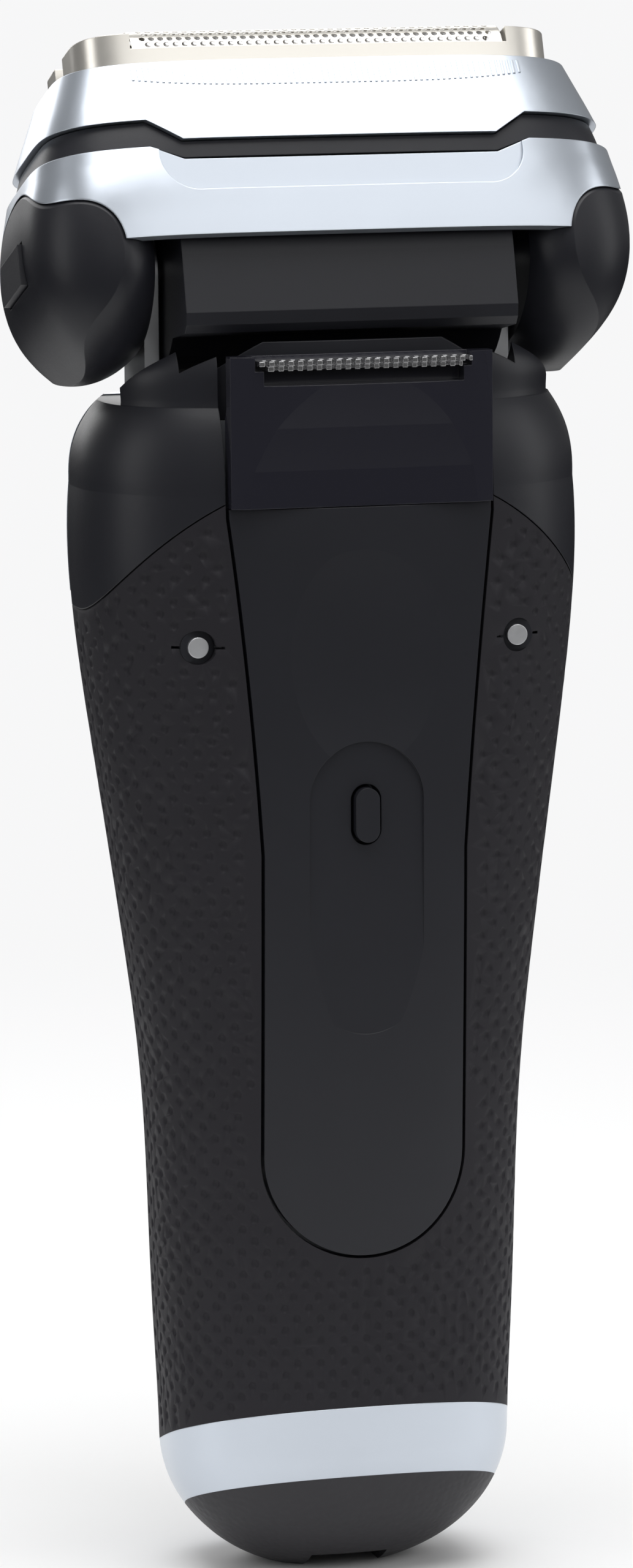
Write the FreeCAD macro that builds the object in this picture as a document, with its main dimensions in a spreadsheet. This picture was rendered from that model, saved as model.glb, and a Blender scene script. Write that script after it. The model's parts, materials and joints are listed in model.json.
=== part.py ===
"""Electric foil shaver with a tilting head, a lift-off foil cassette and a slide-up long-hair trimmer.

Frame: millimetres, +Z from the base to the head, -Y is the front with the power button, +Y the rear with
the trimmer. The origin is the centre of the power inlet in the base. Everything in the head is drawn about
the tilt axis and placed with head_frame.
"""
import FreeCAD, Part
import math
import os
import re
import Sketcher

V = FreeCAD.Vector
doc = FreeCAD.newDocument("Shaver")
sheet = doc.addObject("Spreadsheet::Sheet", "Sizes")

SIZES = {
    # head position and outline
    "pivot_y": 0.7, "pivot_z": 140.3, "head_lean": 20.0, "tilt_range": 20.0,
    "barrel_radius": 11.0, "box_half": 18.0, "box_depth": 13.7, "head_wall": 1.6,
    "arm_thick": 1.6, "arm_gap": 0.4, "arm_half": 4.6, "pin_radius": 1.5, "pin_fit": 0.05,
    "deck_top": 8.0, "deck_thick": 1.4, "band_low": -0.5, "band_wall": 1.5, "band_gap": 0.2,
    "lobe_x": 26.3, "lobe_z": -0.6, "lobe_rx": 9.0, "lobe_ry": 15.4, "lobe_rz": 10.9,
    "scoop_half": 19.7, "scoop_low": 4.4, "scoop_depth": 0.8, "scoop_run": 4.5,
    "wave_start": 17.0, "wave_run": 3.6, "wave_rise": 2.4, "wave_band_rise": 1.4, "seat_gap": 0.8,
    # cassette
    "joint_gap": 0.2, "base_top": 10.0, "frame_top": 19.5, "base_inset": 0.7,
    "well_half": 26.4, "well_depth": 11.3, "foil_y": 6.35, "foil_radius": 3.7, "foil_axis": 20.6,
    "foil_thick": 0.2, "foil_half": 20.3, "foil_frame_low": 12.5, "foil_frame_top": 21.5,
    "foil_post_top": 23.2, "foil_frame_half": 4.55, "foil_inset": 0.4, "foil_float": 2.0,
    "cutter_half": 18.6, "cutter_low": 14.2, "cutter_gap": 0.12, "slit_wide": 0.9, "slit_pitch": 1.9,
    "guard_half": 20.0, "guard_depth": 1.45, "guard_low": 13.2, "guard_top": 24.2, "guard_wall": 0.5,
    "guard_slit": 0.5, "guard_pitch": 1.25,
    # drive
    "stroke": 1.0, "drive_pin": 1.1, "drive_pin_top": 17.0, "bar_low": 2.6, "bar_thick": 2.2,
    "bar_half": 10.0, "core_half": 12.5, "core_depth": 6.8, "core_low": -5.4, "core_top": 1.6,
    # handle
    "skin": 1.4, "shell_wall": 1.6, "split_y": 2.0, "seam_z": 89.9, "seam_radius": 30.8, "seam_gap": 0.15,
    "shoulder_inside": 125.6, "crest_front": 8.2, "crest_room": 16.05, "lobe_room": 13.7,
    "collar_y": -4.6, "collar_half": 0.9, "collar_proud": 0.25,
    "base_slope": 19.8, "ring_high": 13.4, "ring_low": 5.9, "cap_wall": 2.4,
    # rear slide
    "tongue_half": 14.2, "tongue_waist": 10.9, "tongue_flare": 115.6, "tongue_bend": 98.0,
    "tongue_bend_half": 12.3, "tongue_narrow": 80.0, "tongue_foot": 47.3, "tongue_gap": 0.35,
    "tongue_core_half": 21.0, "tongue_core_rear": 16.6, "tongue_core_front": -8.0,
    "cap_split": 116.6, "cap_top": 132.6, "cap_face": 17.3, "cap_relief": 126.0, "cap_rear": 21.0,
    "cap_lip": 0.6, "blade_half": 11.5, "blade_low": 131.7, "blade_thick": 0.5, "blade_tip": 20.9,
    "blade_set_back": 0.3, "tooth_root": 19.4, "tooth_pitch": 1.03, "tooth_gap": 0.5, "tooth_edge": 0.3,
    "blade_clear": 0.1, "blade_film": 0.05, "blade_slot": 2.1, "trimmer_stroke": 0.9,
    "oval_z": 84.0, "oval_half": 1.3, "oval_tall": 5.8, "oval_fit": 0.35, "oval_proud": 0.2,
    "stadium_half": 6.2, "stadium_low": 60.5, "stadium_high": 91.8, "stadium_depth": 0.6,
    # front controls
    "panel_half": 10.0, "panel_low": 32.0, "panel_high": 112.0, "button_z": 90.0, "button_radius": 6.5,
    "button_fit": 0.3, "button_front": -15.0, "button_travel": 0.7, "button_ring": 1.0,
    "lock_z": 103.0, "lock_half": 3.0, "lock_tall": 5.0, "lock_travel": 3.0, "lock_front": -16.0,
    "window_half": 5.5, "window_low": 40.0, "window_high": 66.0,
    # inside the handle
    "battery_radius": 6.9, "battery_y": 7.2, "battery_low": 40.0, "battery_long": 49.0,
    "chassis_half": 14.0, "chassis_y": -1.2, "chassis_thick": 1.4, "chassis_low": 22.0,
    "chassis_high": 118.0, "board_half": 12.5, "board_y": -3.4, "board_thick": 1.2,
    "screw_x": 10.0, "screw_low": 46.0, "screw_high": 110.0, "screw_radius": 0.9, "screw_head": 1.7,
    "contact_x": 17.4, "contact_z": 102.1, "contact_radius": 1.1, "seat_radius": 1.8,
    "contact_face": 17.0,
    # inlet
    "inlet_half": 5.2, "inlet_depth": 3.3, "inlet_wall": 0.8, "inlet_deep": 6.5, "inlet_back": 1.6,
    "inlet_pin": 0.9, "inlet_tail": 0.6, "inlet_seat": 0.2, "inlet_pitch": 2.7, "inlet_recess": 0.8,
    "notch_half": 4.2, "notch_tall": 1.9,
}

# Stations of the two outer surfaces: level, half width, front, rear.
HANDLE = {
    "heel": (15.0, 19.0, -9.8, 17.3),
    "ankle": (30.0, 19.6, -10.6, 17.9),
    "waist": (55.0, 20.6, -11.8, 19.2),
    "palm": (80.0, 23.7, -13.5, 19.9),
    "thumb": (104.0, 26.9, -14.8, 20.0),
    "shoulder": (118.0, 27.1, -14.8, 19.7),
    "slope": (121.5, 26.9, -14.4, 19.4),
    "brow": (124.5, 25.9, -13.2, 18.6),
    "crown": (127.0, 24.3, -10.5, 17.2),
    "ridge": (130.5, 23.5, -7.0, 16.9),
    "peak": (133.8, 19.5, -3.0, 16.6),
}
HEAD = {
    "keel": (-12.5, 25.5, -11.5, 11.5),
    "bilge": (-8.0, 30.2, -14.0, 14.0),
    "cheek": (-4.0, 32.2, -15.6, 15.6),
    "belt": (0.0, 32.9, -16.2, 16.2),
    "band": (4.0, 32.7, -16.1, 16.1),
    "rim": (8.0, 31.9, -15.6, 15.6),
    "frame": (12.0, 30.9, -14.9, 14.9),
    "eave": (19.5, 28.1, -12.4, 12.4),
}
HANDLE_SQUARENESS = 2.4
HEAD_SQUARENESS = 4.5
WELL_SQUARENESS = 6.0


def fill_sheet():
    """Write every driving dimension into the sheet as a plain number with an alias."""
    rows = dict(SIZES)
    for stations in (HANDLE, HEAD):
        for station, values in stations.items():
            for part, value in zip(("level", "half", "front", "rear"), values):
                rows[f"{station}_{part}"] = value
    for row, (alias, value) in enumerate(rows.items(), 1):
        sheet.set(f"A{row}", alias)
        sheet.set(f"B{row}", str(value))
        sheet.setAlias(f"B{row}", alias)
    doc.recompute()
    return set(rows)


ALIASES = fill_sheet()


def size(alias):
    """The value of one cell, for shapes that are computed."""
    return float(sheet.get(alias))


def cells(text):
    """Turn the aliases in an expression into references to the sheet."""
    return re.sub(r"[a-z_]+", lambda m: f"Sizes.{m[0]}" if m[0] in ALIASES else m[0], str(text))


def bind(obj, **properties):
    """Bind properties of an object to expressions over the sheet; a double underscore stands for a dot."""
    for name, text in properties.items():
        obj.setExpression(name.replace("__", "."), cells(text))
    return obj


IN_HEAD = cells(
    "create(<<placement>>; create(<<vector>>; 0; pivot_y; pivot_z);"
    " create(<<rotation>>; create(<<vector>>; 1; 0; 0); head_lean))"
)
parts = []


def part(label, obj, in_head=False):
    """Name an object as a finished sub-part and put it in its frame."""
    if in_head:
        if obj.TypeId in ("Part::Box", "Part::Cylinder"):
            obj = group(obj)
        obj.setExpression("Placement", IN_HEAD)
    obj.Label = label
    parts.append(obj)
    return obj


def block(x, y, z):
    """A box between pairs of expressions."""
    obj = doc.addObject("Part::Box", "Block")
    for side, axis, (low, high) in zip(("Length", "Width", "Height"), "xyz", (x, y, z)):
        obj.setExpression(side, cells(f"({high}) - ({low})"))
        obj.setExpression(f"Placement.Base.{axis}", cells(low))
    return obj


def across(half, y, z):
    """A box that is symmetric about the middle plane."""
    return block((f"-({half})", half), y, z)


TURNS = {"x": FreeCAD.Rotation(V(0, 1, 0), 90), "y": FreeCAD.Rotation(V(1, 0, 0), -90),
         "z": FreeCAD.Rotation()}


def rod(axis, radius, start, end, at=(0, 0)):
    """A cylinder along an axis from start to end; at gives its other two coordinates in x, y, z order."""
    obj = doc.addObject("Part::Cylinder", "Rod")
    obj.Placement.Rotation = TURNS[axis]
    bind(obj, Radius=radius, Height=f"({end}) - ({start})")
    others = [name for name in "xyz" if name != axis]
    obj.setExpression(f"Placement.Base.{axis}", cells(start))
    for name, text in zip(others, at):
        obj.setExpression(f"Placement.Base.{name}", cells(text))
    return obj


def cut(base, *tools):
    """Base with each tool taken away."""
    for tool in tools:
        result = doc.addObject("Part::Cut", "Cut")
        result.Base = base
        result.Tool = tool
        base = result
    return base


def fuse(*shapes):
    """One solid from several."""
    obj = doc.addObject("Part::MultiFuse", "Fuse")
    obj.Shapes = list(shapes)
    obj.Refine = True
    return obj


def common(*shapes):
    """What several solids share."""
    obj = doc.addObject("Part::MultiCommon", "Common")
    obj.Shapes = list(shapes)
    return obj


def group(*shapes):
    """Separate solids kept in one sub-part."""
    obj = doc.addObject("Part::Compound", "Group")
    obj.Links = list(shapes)
    return obj


def computed(shape):
    """An object whose shape is worked out from the sheet."""
    obj = doc.addObject("Part::Feature", "Surface")
    obj.Shape = shape
    return obj


# ---- outer surfaces -------------------------------------------------------------------------------------

def ring_wire(level, half, front, rear, squareness):
    """A closed rounded section of four curves, tangent where they meet."""
    centre = (front + rear) / 2
    depth = (rear - front) / 2
    tangents = (V(0, 1, 0), V(-1, 0, 0), V(0, -1, 0), V(1, 0, 0), V(0, 1, 0))
    spans = 8

    def point(turn):
        cosine = math.cos(turn)
        sine = math.sin(turn)
        reach = (abs(cosine) ** squareness + abs(sine) ** squareness) ** (-1 / squareness)
        return V(round(half * reach * cosine, 9), centre + depth * reach * sine, level)

    edges = []
    for quarter in range(4):
        points = [point(math.pi / 2 * (quarter + step / spans)) for step in range(spans + 1)]
        curve = Part.BSplineCurve()
        curve.interpolate(
            Points=points,
            Parameters=[step / spans for step in range(spans + 1)],
            InitialTangent=tangents[quarter] * points[0].distanceToPoint(points[1]) * spans,
            FinalTangent=tangents[quarter + 1] * points[-1].distanceToPoint(points[-2]) * spans,
        )
        edges.append(curve.toShape())
    return Part.Wire(edges)


def station_at(stations, level):
    """Half width, front and rear at a level, on a smooth curve through the stations."""
    rows = [[size(f"{name}_{part_name}") for part_name in ("level", "half", "front",
                                                           "rear")] for name in stations]
    index = max(i for i in range(len(rows) - 1) if rows[i][0] <= level or i == 0)
    low = rows[index]
    high = rows[index + 1]
    span = high[0] - low[0]
    share = (level - low[0]) / span

    def slope(at, column):
        before = rows[max(at - 1, 0)]
        after = rows[min(at + 1, len(rows) - 1)]
        return (after[column] - before[column]) / (after[0] - before[0])

    values = []
    for column in (1, 2, 3):
        start = low[column]
        end = high[column]
        leave = slope(index, column) * span
        arrive = slope(index + 1, column) * span
        values.append(
            (2 * share**3 - 3 * share**2 + 1) * start
            + (share**3 - 2 * share**2 + share) * leave
            + (3 * share**2 - 2 * share**3) * end
            + (share**3 - share**2) * arrive
        )
    return values


def loft(stations, squareness, inset, low, high, count):
    """A solid between two levels, inset from the outer surface."""
    wires = []
    for step in range(count):
        level = low + (high - low) * step / (count - 1)
        half, front, rear = station_at(stations, level)
        wires.append(ring_wire(level, half - inset, front + inset, rear - inset, squareness))
    return Part.makeLoft(wires, True, False)


def dome(inset, low):
    """The rounded lower end of the handle, from the heel down to a small flat round the inlet."""
    heel, half, front, rear = (size(f"heel_{name}") for name in ("level", "half", "front", "rear"))
    wires = []
    count = 8
    for step in range(count):
        turn = math.pi / 2 * (0.25 + 0.75 * step / (count - 1))
        level = heel - (heel - low) * math.cos(turn) / math.cos(math.pi / 8)
        share = math.sin(turn)
        middle = (front + rear) / 2 * (1 - (1 - share) * 0.9)
        depth = (rear - front) / 2 * share
        wires.append(
            ring_wire(level, half * share - inset, middle - depth + inset, middle + depth - inset,
                      HANDLE_SQUARENESS)
        )
    return Part.makeLoft(wires, True, False)


def handle_solid(inset, low=0.0, top=None):
    """The whole handle, inset from its outer surface."""
    heel = size("heel_level")
    shoulder = size("shoulder_level")
    body = loft(HANDLE, HANDLE_SQUARENESS, inset, heel, shoulder, 9)
    crown = loft(HANDLE, HANDLE_SQUARENESS, inset, shoulder, top or size("crown_level"), 5)
    return body.fuse([crown, dome(inset, low)]).removeSplitter()


def head_solid(inset, low, high, count=6):
    """Part of the head between two levels, inset from its outer surface."""
    return loft(HEAD, HEAD_SQUARENESS, inset, low, high, count)


def oval_prism(half, front, rear, low, high, squareness):
    """A straight prism with the rounded section."""
    face = Part.Face(ring_wire(low, half, front, rear, squareness))
    return face.extrude(V(0, 0, high - low))


def profile_prism(points, half):
    """A closed side outline of (y, z) points drawn out symmetrically along X."""
    corners = [V(-half, y, z) for y, z in points]
    face = Part.Face(Part.makePolygon(corners + corners[:1]))
    return face.extrude(V(2 * half, 0, 0))


def outline_prism(edge_points, front, rear):
    """A symmetric outline in the XZ plane drawn out along Y.

    Each entry is a point (x, z) reached by a straight line, or a pair of points reached by an arc.
    """
    edges = []
    start = edge_points[0]
    for entry in edge_points[1:]:
        if isinstance(entry[0], tuple):
            middle, end = entry
            edges.append(Part.Arc(V(start[0], front, start[1]), V(middle[0], front, middle[1]),
                                  V(end[0], front, end[1])).toShape())
        else:
            end = entry
            edges.append(Part.makeLine(V(start[0], front, start[1]), V(end[0], front, end[1])))
        start = end
    return Part.Face(Part.Wire(edges)).extrude(V(0, rear - front, 0))


def tongue_outline(gap, low_y, high_y, top):
    """The slide's outline, wide at the top with a rounded foot, made larger by a gap."""
    half = size("tongue_half") + gap
    bend = size("tongue_bend_half") + gap
    waist = size("tongue_waist") + gap
    flare = size("tongue_flare")
    bend_z = size("tongue_bend")
    narrow = size("tongue_narrow")
    foot = size("tongue_foot")
    return outline_prism(
        [
            (half, top), (half, flare), ((bend, bend_z), (waist, narrow)), (waist, foot),
            ((0, foot - waist), (-waist, foot)), (-waist, narrow), ((-bend, bend_z), (-half, flare)),
            (-half, top), (half, top),
        ],
        low_y, high_y,
    )


def stadium_outline(half, low, high, front, rear):
    """An upright slot with round ends drawn out along Y."""
    return outline_prism(
        [
            (half, high - half), ((0, high), (-half, high - half)), (-half, low + half),
            ((0, low), (half, low + half)), (half, high - half),
        ],
        front, rear,
    )


def tilted_slab(low_at_axis, high_at_axis):
    """A slanted layer across the base between two heights on the handle's axis."""
    obj = block(("-60", "60"), ("-60", "60"),
                ("0", f"(({high_at_axis}) - ({low_at_axis})) * cos(base_slope)"))
    obj.Placement = FreeCAD.Placement(V(0, 0, 0), FreeCAD.Rotation(V(1, 0, 0), size("base_slope")))
    turn = "create(<<rotation>>; create(<<vector>>; 1; 0; 0); base_slope)"
    corner = f"create(<<vector>>; 0; 0; {low_at_axis}) + {turn} * create(<<vector>>; -60; -60; 0)"
    for axis in "xyz":
        obj.setExpression(f"Placement.Base.{axis}", None)
    obj.setExpression("Placement", cells(f"create(<<placement>>; {corner}; {turn})"))
    return obj


# ---- envelopes used by several parts --------------------------------------------------------------------
FAR = 60
skin = size("skin")
shell_wall = size("shell_wall")
outer = computed(handle_solid(0))
under_skin = computed(handle_solid(skin, skin, size("shoulder_inside")))
inside = computed(handle_solid(skin + shell_wall, skin + shell_wall, size("shoulder_inside") - shell_wall))
channel = computed(tongue_outline(size("tongue_gap"), 8, FAR, 140))
core_low = size("tongue_foot") - size("tongue_waist") - 6
channel_core = computed(
    oval_prism(size("tongue_core_half") - size("tongue_gap"), size("tongue_core_front"),
               size("tongue_core_rear") - size("tongue_gap"), core_low, 140, HANDLE_SQUARENESS)
)
channel_space = cut(channel, channel_core)
seam = rod("y", "seam_radius", "-60", "60", at=("0", "seam_z"))
seam_above = rod("y", "seam_radius + seam_gap", "-60", "60", at=("0", "seam_z"))
below_seam_axis = block(("-60", "60"), ("-60", "60"), ("-20", "seam_z"))
grip_zone = fuse(seam, below_seam_axis)
grip_zone_wide = fuse(seam_above, below_seam_axis)
ring_zone = tilted_slab("ring_low", "ring_high")
cap_zone = tilted_slab("ring_low - 60", "ring_low")
above_ring = tilted_slab("ring_high", "ring_high + 200")
above_cap = tilted_slab("ring_low", "ring_low + 200")
front_outline = computed(
    stadium_outline(size("panel_half"), size("panel_low"), size("panel_high"), -FAR, 0)
)
wide_front_outline = computed(
    stadium_outline(size("panel_half") + size("seam_gap"), size("panel_low") - size("seam_gap"),
                    size("panel_high") + size("seam_gap"), -FAR, 0)
)
skin_layer = cut(outer, under_skin)


def seat_holes(radius):
    """The two bores that take the charging contacts."""
    return [rod("y", radius, "8", "30", at=(f"{side} * contact_x", "contact_z")) for side in (-1, 1)]


def screw_places():
    """The four places where screws close the handle."""
    return [(f"{side} * screw_x", level) for side in (-1, 1) for level in ("screw_low", "screw_high")]


# ---- handle casings -------------------------------------------------------------------------------------

def yoke_openings():
    """Slots for the two yoke arms and the opening for the neck seal in the top of the handle."""
    reach = "arm_half + 0.4"
    side = ("box_half + arm_gap - 0.25", "box_half + arm_gap + arm_thick + 0.25")
    mirrored = (f"-({side[1]})", f"-({side[0]})")
    depth = (f"pivot_y - ({reach})", f"pivot_y + ({reach})")
    rows = [block(each, depth, ("118", "140")) for each in (side, mirrored)]
    rows.append(across("9.3", ("pivot_y - 6.3", "pivot_y + 6.3"), ("118", "140")))
    return rows


def make_casings():
    """Shells, rubber grip, shoulder cover, base ring and end cap."""
    layer = cut(common(under_skin, above_cap), inside)
    floor = cut(
        common(under_skin, computed(tongue_outline(2.2, 8, FAR, size("shoulder_inside"))), channel_core),
        computed(oval_prism(size("tongue_core_half") - 1.8, size("tongue_core_front"),
                            size("tongue_core_rear") - 1.8, 0, 140, HANDLE_SQUARENESS)),
    )
    behind = block(("-60", "60"), ("split_y", "60"), ("-20", "200"))
    ahead = block(("-60", "60"), ("-60", "split_y"), ("-20", "200"))
    bosses = []
    bores = []
    for x, level in screw_places():
        bosses.append(rod("y", "screw_radius + 1.3", "split_y", "14.4", at=(x, level)))
        bores.append(rod("y", "screw_radius", "-20", "30", at=(x, level)))
        bores.append(rod("y", "screw_head + 0.1", "13.8", "30", at=(x, level)))
    rear = cut(common(layer, behind), channel_space)
    openings = yoke_openings()
    part("rear_shell", cut(fuse(rear, floor, *bosses), *bores, *seat_holes("seat_radius"), *openings))
    front_holes = [
        rod("y", "button_radius + button_fit", "-60", "0", at=("0", "button_z")),
        across("window_half - 1", ("-60", "0"), ("window_low + 1", "window_high - 1")),
    ]
    part("front_shell", cut(common(layer, ahead), inlet_clearance(), *openings, *front_holes))

    grip = cut(common(skin_layer, above_ring, grip_zone), channel, wide_front_outline)
    seams = [
        block(
            (f"{side} * contact_x - 2.6", f"{side} * contact_x + 2.6"), ("8", "30"),
            ("contact_z - 0.15", "contact_z + 0.15"),
        )
        for side in (-1, 1)
    ]
    part("grip_sleeve", cut(grip, *seat_holes("seat_radius"), *seams))

    top_cap = cut(common(outer, cut(block(("-60", "60"), ("-60", "60"), ("seam_z", "200")),
                                    grip_zone_wide)), under_skin)
    collar_room = block(("-60", "60"), ("collar_y - collar_half - 0.05", "collar_y + collar_half + 0.05"),
                        ("80", "200"))
    cover = cut(top_cap, channel, wide_front_outline, collar_room, *yoke_openings())
    behind_collar = block(("-60", "60"), ("collar_y", "60"), ("0", "200"))
    part("rear_shoulder_cover", fuse(common(cover, behind_collar), make_crest()))
    part("front_shoulder_cover", cut(cover, behind_collar))
    collar_zone = block(("-60", "60"), ("collar_y - collar_half", "collar_y + collar_half"), ("80", "200"))
    proud = computed(handle_solid(-size("collar_proud"), 0, size("crown_level") + 0.15))
    collar = cut(common(proud, collar_zone), under_skin, grip_zone_wide, wide_front_outline, *yoke_openings())
    part("shoulder_collar", collar)

    part("base_ring", common(skin_layer, ring_zone))
    inlet_hole = computed(inlet_oval("inlet_half", "inlet_depth", -5, 20))
    cap_hollow = computed(handle_solid(size("cap_wall"), size("cap_wall")))
    part("end_cap", cut(common(outer, cap_zone), cap_hollow, inlet_hole, inlet_notch()))


def make_crest():
    """The wall that rises behind the trimmer, hollowed to clear the head as it tilts."""
    low = size("shoulder_inside") + 0.1
    blank = computed(loft(HANDLE, HANDLE_SQUARENESS, 0, low, size("peak_level"), 5))
    behind = block(("-60", "60"), ("crest_front", "60"), ("0", "200"))
    middle = "box_half + 0.3"
    box_sweep = rod("x", "crest_room", f"-({middle})", middle, at=("pivot_y", "pivot_z"))
    lobe_sweep = rod("x", "lobe_room", "-60", "60", at=("pivot_y", "pivot_z"))
    return cut(common(blank, behind), box_sweep, lobe_sweep, channel_space)


def inlet_oval(half_name, depth_name, low, high, shrink=0.0):
    """The rounded outline of the power inlet drawn out along Z."""
    return oval_prism(size(half_name) - shrink, -size(depth_name) + shrink, size(depth_name) - shrink,
                      low, high, 3.0)


def inlet_clearance():
    """The space that the inlet's body needs in the casing."""
    return computed(inlet_oval("inlet_half", "inlet_depth", -5, 20, -0.1))


def inlet_notch():
    """The opening behind the inlet that keys the plug."""
    return across("notch_half", ("1.6", "30"), ("-5", "notch_tall"))


# ---- front controls -------------------------------------------------------------------------------------

def make_front():
    """Trim panel, display window, power button with its ring, and the head lock."""
    button_hole = rod("y", "button_radius + button_ring + 0.05", "-60", "0", at=("0", "button_z"))
    window = across("window_half", ("-60", "0"), ("window_low", "window_high"))
    lock_slot = across(
        "lock_half + 0.3", ("-60", "0"),
        ("lock_z - lock_tall / 2 - 0.3", "lock_z + lock_tall / 2 + lock_travel + 0.3"),
    )
    panel = common(skin_layer, front_outline)
    part("front_panel", cut(panel, button_hole, window, lock_slot))
    glass = across("window_half - 0.05", ("-60", "0"), ("window_low + 0.05", "window_high - 0.05"))
    part("display_window", common(skin_layer, glass))
    ring_outer = rod("y", "button_radius + button_ring", "button_front + 0.1", "0", at=("0", "button_z"))
    ring_inner = rod("y", "button_radius + button_fit", "-60", "10", at=("0", "button_z"))
    part("power_button_ring", cut(ring_outer, ring_inner, under_skin))
    cap = rod("y", "button_radius", "button_front", "button_front + 2.6", at=("0", "button_z"))
    stem = rod("y", "1.5", "button_front + 2.5", "board_y - 4.6 - button_travel", at=("0", "button_z"))
    part("power_button", fuse(cap, stem))
    knob = across("lock_half", ("lock_front", "0"), ("lock_z - lock_tall / 2", "lock_z + lock_tall / 2"))
    part("head_lock_slider", cut(knob, computed(handle_solid(skin - 0.3, skin))))


# ---- inside the handle ----------------------------------------------------------------------------------

def sketch_on(body, role, name, offset=None):
    """An empty sketch on one of a body's own origin planes."""
    sketch = body.newObject("Sketcher::SketchObject", name)
    plane = next(each for each in body.Origin.OriginFeatures if each.Role == role)
    sketch.AttachmentSupport = (plane, [""])
    sketch.MapMode = "FlatFace"
    if offset is not None:
        sketch.setExpression("AttachmentOffset.Base.z", cells(offset))
    return sketch


def add_rectangle(sketch, left, right, low, high):
    """A rectangle held by four distances from the sketch's axes, each bound to the sheet."""
    corners = [V(-1, 1, 0), V(2, 1, 0), V(2, 3, 0), V(-1, 3, 0)]
    first = sketch.GeometryCount
    for index in range(4):
        sketch.addGeometry(Part.LineSegment(corners[index], corners[(index + 1) % 4]), False)
    for index in range(4):
        following = first + (index + 1) % 4
        sketch.addConstraint(Sketcher.Constraint("Coincident", first + index, 2, following, 1))
    for index, direction in enumerate(("Horizontal", "Vertical", "Horizontal", "Vertical")):
        sketch.addConstraint(Sketcher.Constraint(direction, first + index))
    rules = (("DistanceX", 1, left), ("DistanceX", 2, right), ("DistanceY", 1, low), ("DistanceY", 3, high))
    for kind, corner, text in rules:
        line = first + (0 if corner == 1 else corner - 1)
        value = {"DistanceX": corners[corner - 1].x, "DistanceY": corners[corner - 1].y}[kind]
        number = sketch.addConstraint(Sketcher.Constraint(kind, -1, 1, line, 1, value))
        sketch.setExpression(f"Constraints[{number}]", cells(text))


def add_circle(sketch, radius, x="0", y="0"):
    """A circle with its centre and radius bound to the sheet."""
    number = sketch.addGeometry(Part.Circle(V(1, 1, 0), V(0, 0, 1), 1), False)
    rules = (("Radius", (number,), 1, radius), ("DistanceX", (-1, 1, number, 3), 1, x),
             ("DistanceY", (-1, 1, number, 3), 1, y))
    for kind, where, value, text in rules:
        constraint = sketch.addConstraint(Sketcher.Constraint(kind, *where, value))
        sketch.setExpression(f"Constraints[{constraint}]", cells(text))


def pad(body, sketch, length, reverse=False):
    """A pad of a sketch with a bound length."""
    feature = body.newObject("PartDesign::Pad", "Pad")
    feature.Profile = sketch
    feature.Reversed = reverse
    feature.setExpression("Length", cells(length))
    return feature


def pocket(body, sketch, length, reverse=False):
    """A pocket of a sketch with a bound depth."""
    feature = body.newObject("PartDesign::Pocket", "Pocket")
    feature.Profile = sketch
    feature.Reversed = reverse
    feature.setExpression("Length", cells(length))
    return feature


def plate(name, left, right, low, high, face_y, thick, holes=()):
    """A flat plate facing Y with round holes, as a body of its own."""
    body = doc.addObject("PartDesign::Body", name)
    sketch = sketch_on(body, "XZ_Plane", name + "Outline", f"-({face_y})")
    add_rectangle(sketch, left, right, low, high)
    for x, level, radius in holes:
        add_circle(sketch, radius, x, level)
    pad(body, sketch, thick, reverse=True)
    return body


def make_inside():
    """Chassis, battery, board, display, switch, screws and contacts."""
    holes = [(x, level, "screw_radius") for x, level in screw_places()]
    part("chassis", plate("Chassis", "-chassis_half", "chassis_half", "chassis_low", "chassis_high",
                          "chassis_y", "chassis_thick", holes))
    clear_holes = [(x, level, "screw_radius + 0.4") for x, level in screw_places()]
    part("main_board", plate("Board", "-board_half", "board_half", "chassis_low + 4", "chassis_high - 4",
                             "board_y", "board_thick", clear_holes))
    cell_top = "battery_low + battery_long"
    cell = rod("z", "battery_radius", "battery_low", cell_top, at=("0", "battery_y"))
    nub = rod("z", "2.8", cell_top, f"{cell_top} + 1", at=("0", "battery_y"))
    part("battery_cell", fuse(cell, nub))
    tab_low = across("2.5", ("chassis_y + chassis_thick", "battery_y + 2"),
                     ("battery_low - 0.4", "battery_low"))
    tab_high = across("2.5", ("chassis_y + chassis_thick", "battery_y + 2"),
                      (f"{cell_top} + 1", f"{cell_top} + 1.4"))
    part("battery_tabs", group(tab_low, tab_high))
    part("display_module", across("window_half - 1.2", ("board_y - 4", "board_y"),
                                  ("window_low + 2", "window_high - 2")))
    part("power_switch", across("3", ("board_y - 4.4", "board_y"), ("button_z - 3", "button_z + 3")))
    screws = []
    for x, level in screw_places():
        shaft = rod("y", "screw_radius", "chassis_y + chassis_thick / 2", "14", at=(x, level))
        head = rod("y", "screw_head", "13.8", "14.9", at=(x, level))
        drive = rod("y", "0.6", "14.3", "20", at=(x, level))
        screws.append(cut(fuse(shaft, head), drive))
    part("housing_screws", group(*screws))
    seats = []
    contacts = []
    for side in (-1, 1):
        place = (f"{side} * contact_x", "contact_z")
        body = rod("y", "seat_radius", "11.5", "contact_face - 0.5", at=place)
        hole = rod("y", "contact_radius", "0", "30", at=place)
        seats.append(cut(body, hole))
        pin = rod("y", "contact_radius", "9.5", "contact_face", at=place)
        contacts.append(pin)
    part("contact_seats", group(*seats))
    part("charging_contacts", group(*contacts))


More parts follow.
